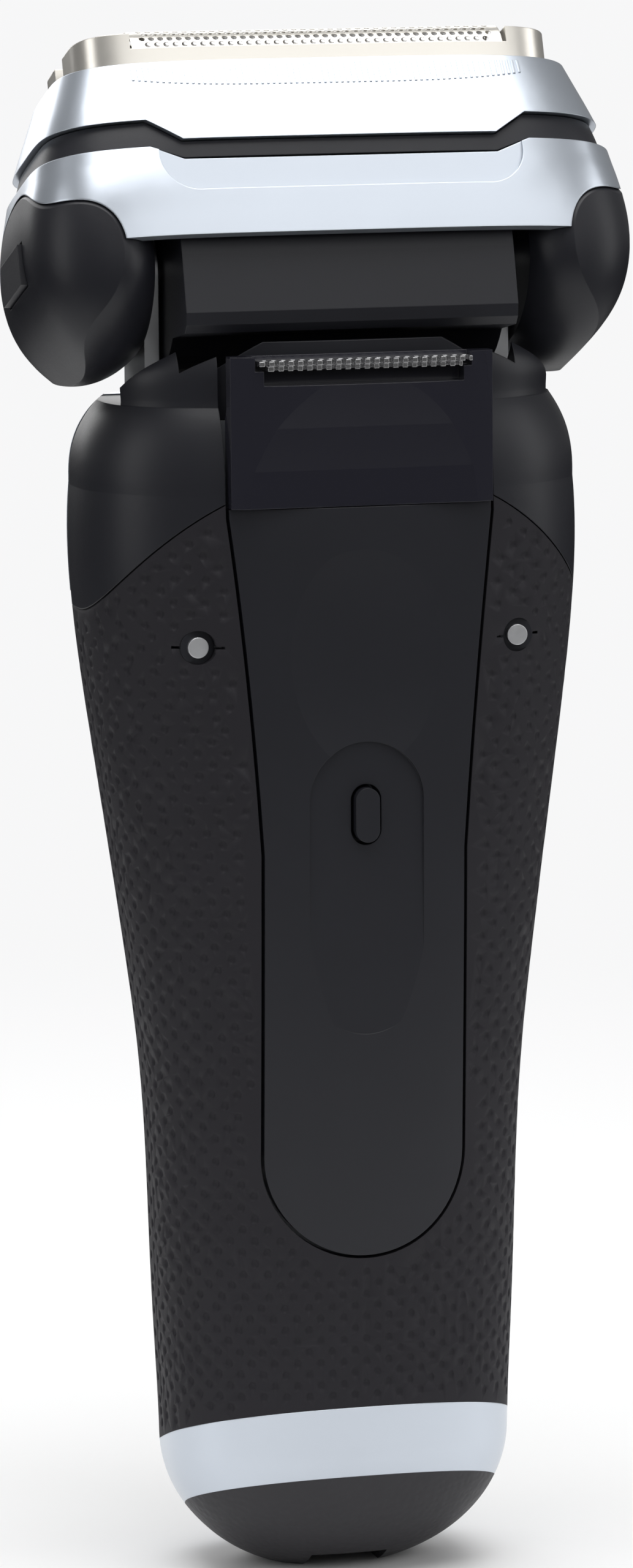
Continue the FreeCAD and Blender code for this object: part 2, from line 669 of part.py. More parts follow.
def make_inlet():
    """The power inlet in the base, its two pins and the gasket under the end cap."""
    shell = computed(inlet_oval("inlet_half", "inlet_depth", 0, size("inlet_deep") + size("inlet_back")))
    hollow = computed(inlet_oval("inlet_half", "inlet_depth", -5, size("inlet_deep"), size("inlet_wall")))
    pin_holes = [rod("z", "inlet_tail", "0", "20", at=(f"{side} * inlet_pitch", "0")) for side in (-1, 1)]
    part("power_inlet", cut(shell, hollow, inlet_notch(), *pin_holes))
    pins = []
    for side in (-1, 1):
        place = (f"{side} * inlet_pitch", "0")
        shaft = rod("z", "inlet_pin", "inlet_recess", "inlet_deep - inlet_seat", at=place)
        tail = rod("z", "inlet_tail", "inlet_deep - inlet_seat", "inlet_deep + inlet_back + 2", at=place)
        pins.append(fuse(shaft, tail))
    part("inlet_pins", group(*pins))
    gasket_zone = tilted_slab("ring_low - 1", "ring_low")
    cap_inside = computed(handle_solid(size("cap_wall"), size("cap_wall")))
    gasket_inside = computed(handle_solid(size("cap_wall") + 1.2, size("cap_wall") + 1.2))
    part("base_gasket", cut(common(cap_inside, gasket_zone), gasket_inside, inlet_clearance()))


# ---- neck -----------------------------------------------------------------------------------------------

def make_neck():
    """The yoke that carries the head, its two pins, the neck seal and the flat cable."""
    inner = "box_half + arm_gap"
    outer_side = f"{inner} + arm_thick"
    base_depth = ("pivot_y - 7", "pivot_y + 7")
    base = across(outer_side, base_depth, ("chassis_high + 1", "chassis_high + 3.4"))
    foot = across("8", ("chassis_y", "chassis_y + chassis_thick"), ("chassis_high", "chassis_high + 1.2"))
    arms = []
    for low, high in ((inner, outer_side), (f"-({outer_side})", f"-({inner})")):
        arms.append(block((low, high), ("pivot_y - arm_half", "pivot_y + arm_half"),
                          ("chassis_high + 1", "pivot_z")))
        arms.append(rod("x", "arm_half", low, high, at=("pivot_y", "pivot_z")))
    pin_hole = rod("x", "pin_radius", "-40", "40", at=("pivot_y", "pivot_z"))
    cable_hole = across("5", ("pivot_y - 1.5", "pivot_y + 1.5"), ("chassis_high - 10", "chassis_high + 20"))
    part("neck_yoke", cut(fuse(base, foot, *arms), pin_hole, cable_hole))
    pins = [rod("x", "pin_radius", *ends, at=("pivot_y", "pivot_z"))
            for ends in (("box_half - head_wall", "box_half + 4"), ("-box_half - 4", "head_wall - box_half"))]
    part("pivot_pins", group(*pins))
    seal = across("9", ("pivot_y - 6", "pivot_y + 6"),
                  ("chassis_high + 3.6", "pivot_z - barrel_radius - 0.3"))
    throat = across("7", ("pivot_y - 3.5", "pivot_y + 3.5"), ("100", "140"))
    part("neck_seal", cut(seal, throat))
    part("flex_cable", across("4", ("pivot_y - 0.15", "pivot_y + 0.15"),
                              ("chassis_high - 3", "pivot_z - barrel_radius + 1.4")))


# ---- long-hair trimmer on the rear slide ----------------------------------------------------------------

def make_slide():
    """The rear panel, the trimmer cap, the comb, its cutter and the oval release button."""
    tongue = computed(tongue_outline(0, 8, FAR, size("cap_split")))
    core = computed(oval_prism(size("tongue_core_half"), size("tongue_core_front"), size("tongue_core_rear"),
                               20, 140, HANDLE_SQUARENESS))
    panel = cut(common(outer, tongue), core)
    surface = station_at(HANDLE, size("oval_z"))[2]
    recess = computed(stadium_outline(size("stadium_half"), size("stadium_low"), size("stadium_high"),
                                      surface - size("stadium_depth"), FAR))
    scoop = doc.addObject("Part::Sphere", "Scoop")
    bind(scoop, Radius="90")
    scoop.Placement.Base = V(0, station_at(HANDLE, size("contact_z"))[2] + 90 - 0.8, size("contact_z") - 1)
    slot_half = size("oval_half") + size("oval_fit")
    slot_tall = size("oval_tall") / 2 + size("oval_fit")
    oval_z = size("oval_z")
    slot = computed(stadium_outline(slot_half, oval_z - slot_tall, oval_z + slot_tall, 0, FAR))
    part("rear_panel", cut(panel, recess, scoop, slot))

    top = size("cap_top")
    split = size("cap_split")
    face = size("cap_face")
    relief = size("cap_relief")
    rear = size("cap_rear")
    inner = size("tongue_core_rear") + 0.1
    side = [
        (inner, split + 0.1), (inner, relief), (face, relief + 1), (face, top), (rear, top), (rear - 0.1, top - 3),
        (rear - 0.7, top - 7.5), (rear - 1.2, top - 12), (rear - 1.35, split + 0.1),
    ]
    cap_side = computed(profile_prism(side, 30))
    cap_outline = computed(tongue_outline(0, 8, FAR, top))
    crown = computed(oval_prism(size("tongue_core_half") + 4, -12, rear, split, top + 5, HANDLE_SQUARENESS))
    blade_back = "cap_face + cap_lip"
    blade_room = across("blade_half + 0.2", (blade_back, "60"),
                        ("blade_low - blade_thick - 2 * blade_film", "200"))
    slot_room = across("blade_half - 0.7", (blade_back, "60"), ("blade_low - blade_slot", "200"))
    cap = cut(common(cap_side, cap_outline, crown), core, blade_room, slot_room)
    part("trimmer_cap", cap)
    part("trimmer_comb", toothed("Comb", (), "blade_low", "blade_tip"))
    part("trimmer_cutter", toothed("Cutter", ("trimmer_stroke", "blade_clear"),
                                   "blade_low - blade_thick - blade_film",
                                   "blade_tip - blade_set_back"))
    button = computed(stadium_outline(size("oval_half"), oval_z - size("oval_tall") / 2,
                                      oval_z + size("oval_tall") / 2, size("tongue_core_rear") + 1.2,
                                      surface + size("oval_proud")))
    part("trimmer_release_button", button)


def toothed(name, shrink, low, tip):
    """A flat blade with a row of teeth pointing backwards, cut by a pattern of gaps."""
    half = " - ".join(("blade_half", *shrink))
    half_now = size("blade_half") - sum(size(alias) for alias in shrink)
    body = doc.addObject("PartDesign::Body", name)
    outline = sketch_on(body, "XY_Plane", name + "Outline", low)
    add_rectangle(outline, f"-({half})", half, "cap_face + cap_lip", tip)
    pad(body, outline, "blade_thick")
    gap = sketch_on(body, "XY_Plane", name + "Gap", low)
    add_rectangle(gap, f"tooth_edge - ({half})", f"tooth_edge + tooth_gap - ({half})", "tooth_root",
                  f"({tip}) + 1")
    cutter = pocket(body, gap, "blade_thick", reverse=True)
    repeat_slit(body, gap, cutter, "tooth_pitch", 2 * (half_now - size("tooth_edge")) - size("tooth_gap"))
    return body


# ---- head, drawn about the tilt axis --------------------------------------------------------------------

def box_profile(inset, top):
    """Side outline of the central box: a barrel below, a flat under the front, a corner behind."""
    radius = size("barrel_radius") - inset
    depth = size("box_depth") - inset
    limit = math.radians(2 * size("tilt_range"))
    points = []
    steps = 10
    for step in range(steps + 1):
        angle = -limit + (limit + math.radians(35)) * step / steps
        points.append((radius * math.sin(angle), -radius * math.cos(angle)))
    front = points[0]
    reach = (depth + front[0]) / math.cos(limit)
    corner = (-depth, front[1] + reach * math.sin(limit))
    heel = [(11.6 - inset, -10.0 + inset), (12.6 - inset, -9.4 + inset), (13.2 - inset, -8.2 + inset)]
    return [(-depth, top), corner] + points + heel + [(depth, -2.0), (depth, top)]


def make_head():
    """Head housing with its two lobes, silver band, deck, seals and the linear drive."""
    wall = size("head_wall")
    half = size("box_half")
    deck_low = size("deck_top") - size("deck_thick")
    box = computed(profile_prism(box_profile(0, deck_low), half))
    room = computed(profile_prism(box_profile(wall, deck_low + 1), half - wall))
    lobe_inner = "box_half + 2 * arm_gap + arm_thick"
    envelope = computed(head_solid(0, size("keel_level"), size("deck_top"), 7))
    lobes = []
    clear_lobes = []
    for side in (-1, 1):
        ends = (lobe_inner, "60") if side > 0 else ("-60", f"-({lobe_inner})")
        lobes.append(common(computed(lobe(side, 0)), envelope, block(ends, ("-60", "60"), ("-60", "60"))))
        clear_lobes.append(computed(lobe(side, size("band_gap"))))
    deck_blank = computed(head_solid(size("band_wall") + 0.1, deck_low, size("deck_top"), 3))
    bridge = across("lobe_x", ("-12.5", "12.5"), ("arm_half + 1", "deck_top - deck_thick"))
    bridge_low = across("box_half", ("-60", "60"), ("-60", "60"))
    pin_bore = rod("x", "pin_radius + pin_fit", "-box_half - 4.2", "box_half + 4.2")
    cable_room = across("5", ("-barrel_radius * 0.82", "2.2"), ("-20", "-3"))
    button_bores = []
    for side in (-1, 1):
        ends = ("25.4", "60") if side > 0 else ("-60", "-25.4")
        button_bores.append(block(ends, ("-4.5 - 0.25", "4.5 + 0.25"), ("-2.2 - 0.25", "2.2 + 0.25")))
    ends_only = cut(bridge, bridge_low)
    shell = cut(fuse(box, *lobes, ends_only), room, deck_blank, pin_bore, cable_room, *button_bores)
    part("head_housing", shell, in_head=True)

    band_outer = computed(head_solid(0, size("band_low"), size("deck_top"), 4))
    band_inner = computed(head_solid(size("band_wall"), size("band_low") - 1, size("deck_top") + 1, 4))
    deep = size("rim_rear") - size("scoop_depth")
    scoops = [computed(scoop_outline(*depth)) for depth in ((deep, FAR), (-FAR, -deep))]
    rise = size("wave_band_rise")
    crown = computed(head_solid(0, size("deck_top") - 0.5, size("deck_top") + rise + 0.5, 3))
    crown_ring = cut(crown, band_inner_tall())
    corners = [common(crown_ring, wave(side, size("deck_top"), rise)) for side in (-1, 1)]
    ring = fuse(cut(band_outer, band_inner), *corners)
    part("head_band", cut(ring, *clear_lobes, *scoops), in_head=True)

    slots = []
    collars = []
    for side in (-1, 1):
        slots.append(drive_slot(side, 0.0, deck_low - 1, size("deck_top") + 1))
        ring = computed(slot_ring(side))
        collars.append(ring)
    part("head_deck", cut(deck_blank, *slots), in_head=True)
    part("drive_seals", group(*collars), in_head=True)

    core = across("core_half", ("-core_depth", "core_depth"), ("core_low", "core_top"))
    windows = [across("8.2", depth, ("core_low + 2", "20")) for depth in (("1.6", "4.4"), ("-4.4", "-1.6"))]
    ends = [block(x, ("-4.4", "4.4"), ("core_low + 2", "20")) for x in (("8.2 - 1", "10"),
                                                                        ("-10", "1 - 8.2"))]
    part("motor_core", cut(core, *windows, *ends), in_head=True)
    coil_outer = across("9.8", ("-4.2", "4.2"), ("core_low + 2.1", "core_top - 0.4"))
    coil_inner = across("7.3", ("-1.7", "1.7"), ("-20", "20"))
    part("motor_coil", cut(coil_outer, coil_inner), in_head=True)
    for name, side in (("rear", 1), ("front", -1)):
        depth = ("0.5", "8.4") if side > 0 else ("-8.4", "-0.5")
        bar = across("bar_half", depth, ("bar_low", "bar_low + bar_thick"))
        magnets = across("bar_half - 2", ("1.5", "6") if side > 0 else ("-6", "-1.5"),
                         ("bar_low - 0.8", "bar_low"))
        pin = rod("z", "drive_pin", "bar_low", "drive_pin_top", at=("0", f"{side} * foil_y"))
        part(f"drive_bar_{name}", fuse(bar, pin), in_head=True)
        part(f"drive_magnet_{name}", magnets, in_head=True)


def scoop_outline(front, rear):
    """The finger scoop in the band, with swept ends."""
    half = size("scoop_half")
    low = size("scoop_low")
    top = size("deck_top")
    run = size("scoop_run")
    ramp = (half - run / 4, low + (top - low) / 3)
    foot = (half - run, low)
    return outline_prism(
        [
            (half, FAR), (half, top), (ramp, foot), (-foot[0], low),
            ((-ramp[0], ramp[1]), (-half, top)), (-half, FAR), (half, FAR),
        ],
        front, rear,
    )


def wave(side, level, rise):
    """The zone at one end of the head where a seam at that level climbs by a rise."""
    start = size("wave_start")
    end = start + size("wave_run")
    points = [(start, level - 1), (start, level), (end, level + rise), (FAR, level + rise), (FAR, level - 1)]
    outline = [(side * x, z) for x, z in points]
    return computed(outline_prism(outline + outline[:1], -FAR, FAR))


def band_inner_tall(clearance=0.0):
    """The space inside the band's wall, from under the deck to above the raised corners."""
    top = size("deck_top") + size("wave_band_rise") + 1
    return computed(head_solid(size("band_wall") + clearance, size("deck_top") - 1, top, 3))


def lobe(side, grow):
    """One rounded end of the head as an ellipsoid."""
    ball = Part.makeSphere(1)
    scale = FreeCAD.Matrix()
    scale.scale(size("lobe_rx") + grow, size("lobe_ry") + grow, size("lobe_rz") + grow)
    shape = ball.transformGeometry(scale)
    shape.translate(V(side * size("lobe_x"), 0, size("lobe_z")))
    return shape


def drive_slot_shape(side, grow, low, high):
    """The slot that a drive pin moves in, along X."""
    radius = size("drive_pin") + 0.3 + grow
    reach = size("stroke")
    y = side * size("foil_y")
    bar = Part.makeBox(2 * reach, 2 * radius, high - low, V(-reach, y - radius, low))
    ends = [Part.makeCylinder(radius, high - low, V(x, y, low)) for x in (-reach, reach)]
    return bar.fuse(ends).removeSplitter()


def drive_slot(side, grow, low, high):
    """The slot as an object to cut with."""
    return computed(drive_slot_shape(side, grow, low, high))


def slot_ring(side):
    """A raised seal round one drive slot."""
    top = size("deck_top")
    return drive_slot_shape(side, 1.0, top, top + 0.5).cut(drive_slot_shape(side, 0.0, top - 1, top + 1))


def make_side_buttons():
    """The two cassette release buttons in the ends of the head, with their springs."""
    springs = []
    for name, side in (("left", 1), ("right", -1)):
        def along(low, high):
            """A span along X on this side."""
            return (low, high) if side > 0 else (f"-({high})", f"-({low})")
        cap = block(along("27", "belt_half + 0.4"), ("-4.5", "4.5"), ("-2.2", "2.2"))
        bore = rod("x", "1.4", *along("20", "30.6"))
        part(f"release_button_{name}", cut(cap, bore), in_head=True)
        tube = rod("x", "1.15", *along("25.4", "29.2"))
        springs.append(cut(tube, rod("x", "0.75", *along("20", "40"))))
    part("release_springs", group(*springs), in_head=True)


# ---- cassette -------------------------------------------------------------------------------------------

def make_cassette():
    """Cassette base, silver frame, foils in their frames, cutters, guard and springs."""
    gap = size("joint_gap")
    low = size("deck_top") + gap
    top = size("base_top")
    rise = size("wave_rise")
    whole = computed(head_solid(size("base_inset"), low, top + rise + 0.5, 3))
    well = across("21.5", ("-10", "10"), ("0", "40"))
    opening = computed(oval_prism(size("well_half"), -size("well_depth"), size("well_depth"), top, 40,
                                  WELL_SQUARENESS))
    above = block(("-60", "60"), ("-60", "60"), ("base_top", "60"))
    corners = [wave(side, top, rise) for side in (-1, 1)]
    rim = computed(head_solid(-1, low - 1, low + size("wave_band_rise") + 1, 3))
    seat = cut(rim, band_inner_tall(size("seat_gap")))
    seats = [common(seat, wave(side, size("deck_top") + gap, size("wave_band_rise"))) for side in (-1, 1)]
    part("cassette_base", cut(whole, well, opening, cut(above, *corners), *seats), in_head=True)
    seam = size("seam_gap")
    frame = computed(head_solid(0, top + seam, size("frame_top"), 5))
    climbs = [wave(side, top + seam, rise) for side in (-1, 1)]
    part("cassette_frame", cut(frame, opening, *climbs), in_head=True)

    rounded = computed(
        oval_prism(size("well_half") - size("foil_inset"), size("foil_inset") - size("well_depth"),
                   size("well_depth") - size("foil_inset"), 0, 40, WELL_SQUARENESS)
    )
    springs = []
    for name, side in (("rear", 1), ("front", -1)):
        middle = f"{side} * foil_y"
        depth = (f"{middle} - foil_frame_half", f"{middle} + foil_frame_half")
        rails = across("60", depth, ("foil_frame_low", "foil_frame_top"))
        posts = cut(across("60", depth, ("foil_frame_low", "foil_post_top")),
                    across("foil_half + 0.3", ("-60", "60"), ("foil_frame_top - 2", "60")))
        room = across("foil_half + 0.05",
                      (f"{middle} - foil_radius - 0.05", f"{middle} + foil_radius + 0.05"), ("0", "60"))
        pockets = []
        for end in (-1, 1):
            place = (f"{end} * (foil_half + 2.2)", middle)
            pockets.append(rod("z", "1.35", "0", "foil_frame_low + 4.6", at=place))
            tube = rod("z", "1.1", "base_top", "foil_frame_low + 2.4", at=place)
            springs.append(cut(tube, rod("z", "0.7", "0", "60", at=place)))
        part(f"foil_frame_{name}", cut(common(fuse(rails, posts), rounded), room, *pockets), in_head=True)

        sheet_outer = fuse(
            rod("x", "foil_radius", "-foil_half", "foil_half", at=(middle, "foil_axis")),
            across("foil_half", (f"{middle} - foil_radius", f"{middle} + foil_radius"),
                   ("foil_axis - 2.5", "foil_axis")),
        )
        sheet_inner = fuse(
            rod("x", "foil_radius - foil_thick", "-60", "60", at=(middle, "foil_axis")),
            across("60", (f"{middle} - foil_radius + foil_thick", f"{middle} + foil_radius - foil_thick"),
                   ("0", "foil_axis")),
        )
        above = across("60", ("-60", "60"), ("foil_axis - 2.5", "60"))
        part(f"foil_{name}", common(cut(sheet_outer, sheet_inner), above), in_head=True)
        part(f"cutter_block_{name}", cutter_block(name, side), in_head=True)
    part("foil_springs", group(*springs), in_head=True)

    part("middle_guard", slitted_guard(), in_head=True)
    part("middle_cutter", across("guard_half - stroke - 0.6",
                                 ("guard_wall - guard_depth + 0.08", "guard_depth - guard_wall - 0.08"),
                                 ("guard_low + 1", "guard_top - guard_wall - 0.08")), in_head=True)


def slitted_guard():
    """The guard over the middle cutter: a channel with slits across its top."""
    body = doc.addObject("PartDesign::Body", "Guard")
    section = sketch_on(body, "YZ_Plane", "GuardSection", "-guard_half")
    add_rectangle(section, "-guard_depth", "guard_depth", "guard_low", "guard_top")
    pad(body, section, "2 * guard_half")
    channel_sketch = sketch_on(body, "YZ_Plane", "GuardChannel", "0.4 - guard_half")
    add_rectangle(channel_sketch, "guard_wall - guard_depth", "guard_depth - guard_wall", "0",
                  "guard_top - guard_wall")
    doc.recompute()
    pocket(body, channel_sketch, "2 * guard_half - 0.8", reverse=True)
    slit = sketch_on(body, "XZ_Plane", "GuardSlit", "-30")
    add_rectangle(slit, "1.2 - guard_half", "1.2 + guard_slit - guard_half", "guard_top - 1.6", "40")
    repeat_slit(body, slit, pocket(body, slit, "60"), "guard_pitch",
                2 * size("guard_half") - 2.4 - size("guard_slit"))
    return body


def repeat_slit(body, sketch, feature, pitch, room):
    """Repeat a pocket along the sketch's own X as often as the room allows."""
    doc.recompute()
    pattern = body.newObject("PartDesign::LinearPattern", "Row")
    pattern.Originals = [feature]
    pattern.Direction = (sketch, ["H_Axis"])
    count = int(room / size(pitch)) + 1
    pattern.Occurrences = count
    pattern.setExpression("Length", cells(f"{pitch} * {count - 1}"))
    body.Tip = pattern


def cutter_block(name, side):
    """A row of half-round blades on a carrier, cut from one bar by a pattern of slits."""
    body = doc.addObject("PartDesign::Body", f"CutterBlock{name}")
    middle = f"{side} * foil_y"
    arch = sketch_on(body, "YZ_Plane", f"Arch{name}", "-cutter_half")
    add_circle(arch, "foil_radius - foil_thick - cutter_gap", middle, "foil_axis")
    pad(body, arch, "2 * cutter_half")
    carrier = sketch_on(body, "YZ_Plane", f"Carrier{name}", "-cutter_half")
    add_rectangle(carrier, f"{middle} - 2.6", f"{middle} + 2.6", "cutter_low", "foil_axis")
    pad(body, carrier, "2 * cutter_half")
    slit = sketch_on(body, "XZ_Plane", f"Slit{name}", "-30")
    add_rectangle(slit, "0.8 - cutter_half", "0.8 + slit_wide - cutter_half", "foil_axis - 1", "40")
    repeat_slit(body, slit, pocket(body, slit, "60"), "slit_pitch",
                2 * size("cutter_half") - 1.6 - size("slit_wide"))
    hole = rod("z", "drive_pin + 0.05", "0", "drive_pin_top + foil_float + 0.6", at=("0", middle))
    return cut(body, hole)


def finish():
    """Check every object, then write one file for each sub-part."""
    doc.recompute()
    failed = [obj for obj in doc.Objects if {"Invalid", "Error"} & set(obj.State)]
    if failed:
        users = [f"{obj.Name} for {[each.Label for each in obj.InList]}: {obj.getStatusString()}" for obj in failed]
        raise RuntimeError("failed objects: " + "; ".join(users))
    os.makedirs("parts", exist_ok=True)
    for obj in parts:
        shape = obj.Shape
        if shape.isNull() or not shape.isValid() or not shape.Solids:
            raise RuntimeError(f"{obj.Label} has no valid shape")
        shape.exportStep(f"parts/{obj.Label}.step")
        box = shape.BoundBox
        print(f"{obj.Label:24s} {len(shape.Solids)} solids {shape.Volume:9.1f} mm3"
              f"  x {box.XMin:6.1f} {box.XMax:6.1f}  y {box.YMin:6.1f} {box.YMax:6.1f}  z {box.ZMin:6.1f} {box.ZMax:6.1f}")


make_casings()
make_front()
make_inside()
make_inlet()
make_neck()
make_slide()
make_head()
make_side_buttons()
make_cassette()
finish()
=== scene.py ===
"""Looks of an electric foil shaver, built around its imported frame.

Metres, +Z from the base to the head, -Y the front with the power button, +Y the rear with the trimmer.
"""

import json
import logging
import math
from dataclasses import dataclass, field
from enum import Enum
from typing import Iterable, Iterator

import bmesh
import bpy
from mathutils import Matrix, Vector
from mathutils.bvhtree import BVHTree


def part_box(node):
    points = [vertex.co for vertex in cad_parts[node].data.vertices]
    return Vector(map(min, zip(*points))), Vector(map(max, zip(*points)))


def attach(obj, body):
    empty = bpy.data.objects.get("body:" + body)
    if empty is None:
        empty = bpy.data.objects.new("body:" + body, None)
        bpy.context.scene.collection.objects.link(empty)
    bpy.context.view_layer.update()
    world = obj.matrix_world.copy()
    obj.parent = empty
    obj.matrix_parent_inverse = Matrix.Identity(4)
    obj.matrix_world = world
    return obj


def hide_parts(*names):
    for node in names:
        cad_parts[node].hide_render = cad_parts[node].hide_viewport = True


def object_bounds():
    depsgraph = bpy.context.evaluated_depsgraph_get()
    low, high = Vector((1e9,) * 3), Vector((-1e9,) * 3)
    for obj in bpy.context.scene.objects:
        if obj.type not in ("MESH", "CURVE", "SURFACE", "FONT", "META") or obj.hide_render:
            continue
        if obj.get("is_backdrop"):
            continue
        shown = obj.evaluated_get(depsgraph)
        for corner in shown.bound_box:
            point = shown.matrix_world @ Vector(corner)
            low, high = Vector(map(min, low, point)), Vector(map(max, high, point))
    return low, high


MM = 0.001
UP = Vector((0.0, 0.0, 1.0))
HEAD_LEAN = 20.0                 # degrees that the head leans forward at rest
WELD = 0.001 * MM                # points closer than this are one point
SLIVER = 0.001 * MM              # edges shorter than this are closed up
SMOOTH_BELOW = 35.0              # degrees between faces that still shade as one
OCTAVES = 4.0                    # of the fine grain
BROAD_OCTAVES = 2.0              # of the slow drift in colour
BROAD_SHARE = 45.0               # size of the slow drift, in grains
LEAST_ROUGH = 0.02
BEVEL_SAMPLES = 4
LOG = logging.getLogger("shaver")
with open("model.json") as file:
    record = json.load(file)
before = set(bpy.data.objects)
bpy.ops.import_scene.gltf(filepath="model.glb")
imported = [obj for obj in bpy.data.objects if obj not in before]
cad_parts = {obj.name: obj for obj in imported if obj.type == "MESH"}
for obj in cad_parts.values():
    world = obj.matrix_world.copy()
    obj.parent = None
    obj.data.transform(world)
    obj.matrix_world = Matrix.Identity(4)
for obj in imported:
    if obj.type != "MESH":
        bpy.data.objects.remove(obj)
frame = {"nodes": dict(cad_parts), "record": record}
CAD_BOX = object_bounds()


# ---- finishes --------------------------------------------------------------------------------------------

@dataclass(frozen=True)
class Finish:
    """A surface finish with its own fine grain.

    Attributes:
        name: What a maker would call the finish.
        colour: Base colour, linear.
        metallic: Share of metal in the shader.
        roughness: Middle roughness.
        grain: Size of the grain in metres.
        relief: Depth of the grain in metres.
        spread: How far roughness varies over the surface.
        shade: How far the colour varies over the surface.
        coat: Weight of the clear coat.
        coat_roughness: Roughness of the clear coat.
        specular: Specular level.
        edge: Radius of the softened edges in metres.
    """

    name: str
    colour: tuple[float, float, float]
    metallic: float = 0.0
    roughness: float = 0.4
    grain: float = 0.0004
    relief: float = 0.00001
    spread: float = 0.05
    shade: float = 0.06
    coat: float = 0.0
    coat_roughness: float = 0.05
    specular: float = 0.5
    edge: float = 0.00012

    def material(self) -> bpy.types.Material:
        """Make the node material, or return the one already made.

        Returns:
            The material of this finish.
        """
        existing = bpy.data.materials.get(self.name)
        if existing:
            return existing
        material = bpy.data.materials.new(self.name)
        material.use_nodes = True
        tree = material.node_tree
        shader = tree.nodes["Principled BSDF"]
        shader.inputs["Metallic"].default_value = self.metallic
        shader.inputs["Coat Weight"].default_value = self.coat
        shader.inputs["Coat Roughness"].default_value = self.coat_roughness
        shader.inputs["Specular IOR Level"].default_value = self.specular
        place = tree.nodes.new("ShaderNodeTexCoord")
        fine = self.noise(tree, place, 1.0 / self.grain, OCTAVES)
        broad = self.noise(tree, place, 1.0 / (self.grain * BROAD_SHARE), BROAD_OCTAVES)
        self.vary_colour(tree, shader, broad)
        self.vary_roughness(tree, shader, fine)
        self.add_relief(tree, shader, self.height(tree, place, fine))
        return material

    @staticmethod
    def noise(tree: bpy.types.NodeTree, place: bpy.types.Node, scale: float, detail: float) -> bpy.types.Node:
        """Add a noise texture in object space.

        Args:
            tree: Node tree to add to.
            place: Texture coordinate node.
            scale: Noise scale in cells a metre.
            detail: Number of octaves.

        Returns:
            The noise node.
        """
        node = tree.nodes.new("ShaderNodeTexNoise")
        node.inputs["Scale"].default_value = scale
        node.inputs["Detail"].default_value = detail
        tree.links.new(place.outputs["Object"], node.inputs["Vector"])
        return node

    def height(self, tree: bpy.types.NodeTree, place: bpy.types.Node,
               fine: bpy.types.Node) -> bpy.types.NodeSocket:
        """Height of the relief, which a special finish may replace."""
        return fine.outputs["Fac"]

    def vary_colour(self, tree: bpy.types.NodeTree, shader: bpy.types.Node, broad: bpy.types.Node) -> None:
        """Let the base colour drift between two close shades.

        Args:
            tree: Node tree of the material.
            shader: Its surface shader.
            broad: Large-scale noise.
        """
        ramp = tree.nodes.new("ShaderNodeValToRGB")
        low, high = 1.0 - self.shade, 1.0 + self.shade
        ramp.color_ramp.elements[0].color = (*(c * low for c in self.colour), 1.0)
        ramp.color_ramp.elements[1].color = (*(c * high for c in self.colour), 1.0)
        tree.links.new(broad.outputs["Fac"], ramp.inputs["Fac"])
        tree.links.new(ramp.outputs["Color"], shader.inputs["Base Color"])

    def vary_roughness(self, tree: bpy.types.NodeTree, shader: bpy.types.Node, fine: bpy.types.Node) -> None:
        """Let roughness follow the grain.

        Args:
            tree: Node tree of the material.
            shader: Its surface shader.
            fine: Fine noise.
        """
        spread = tree.nodes.new("ShaderNodeMapRange")
        spread.inputs["To Min"].default_value = max(LEAST_ROUGH, self.roughness - self.spread)
        spread.inputs["To Max"].default_value = min(1.0, self.roughness + self.spread)
        tree.links.new(fine.outputs["Fac"], spread.inputs["Value"])
        tree.links.new(spread.outputs["Result"], shader.inputs["Roughness"])

    def add_relief(self, tree: bpy.types.NodeTree, shader: bpy.types.Node,
                   height: bpy.types.NodeSocket) -> None:
        """Add the grain as bump over softened edges.

        Args:
            tree: Node tree of the material.
            shader: Its surface shader.
            height: Socket that holds the height.
        """
        bump = tree.nodes.new("ShaderNodeBump")
        bump.inputs["Strength"].default_value = 1.0
        bump.inputs["Distance"].default_value = self.relief
        tree.links.new(height, bump.inputs["Height"])
        bevel = tree.nodes.new("ShaderNodeBevel")
        bevel.samples = BEVEL_SAMPLES
        bevel.inputs["Radius"].default_value = self.edge
        tree.links.new(bevel.outputs["Normal"], bump.inputs["Normal"])
        tree.links.new(bump.outputs["Normal"], shader.inputs["Normal"])


@dataclass(frozen=True)
class BrushedFinish(Finish):
    """A metal brushed along one axis of the object.

    Attributes:
        stretch: Scale of the grain along X, Y and Z.
    """

    stretch: tuple[float, float, float] = (0.03, 1.0, 1.0)

    def height(self, tree: bpy.types.NodeTree, place: bpy.types.Node,
               fine: bpy.types.Node) -> bpy.types.NodeSocket:
        """Drawn-out noise for the brush marks.

        Args:
            tree: Node tree of the material.
            place: Texture coordinate node.
            fine: Fine noise, which is stretched here.

        Returns:
            The socket that holds the height.
        """
        stretch = tree.nodes.new("ShaderNodeMapping")
        stretch.inputs["Scale"].default_value = self.stretch
        tree.links.new(place.outputs["Object"], stretch.inputs["Vector"])
        tree.links.new(stretch.outputs["Vector"], fine.inputs["Vector"])
        return fine.outputs["Fac"]


@dataclass(frozen=True)
class PebbledFinish(Finish):
    """A moulded plastic with a spark-eroded, pebbled skin."""

    def height(self, tree: bpy.types.NodeTree, place: bpy.types.Node,
               fine: bpy.types.Node) -> bpy.types.NodeSocket:
        """Rounded cells for the pebbles.

        Args:
            tree: Node tree of the material.
            place: Texture coordinate node.
            fine: Fine noise, which only drives the roughness here.

        Returns:
            The socket that holds the height.
        """
        cells = tree.nodes.new("ShaderNodeTexVoronoi")
        cells.feature = "SMOOTH_F1"
        cells.inputs["Scale"].default_value = 1.0 / self.grain
        tree.links.new(place.outputs["Object"], cells.inputs["Vector"])
        return cells.outputs["Distance"]


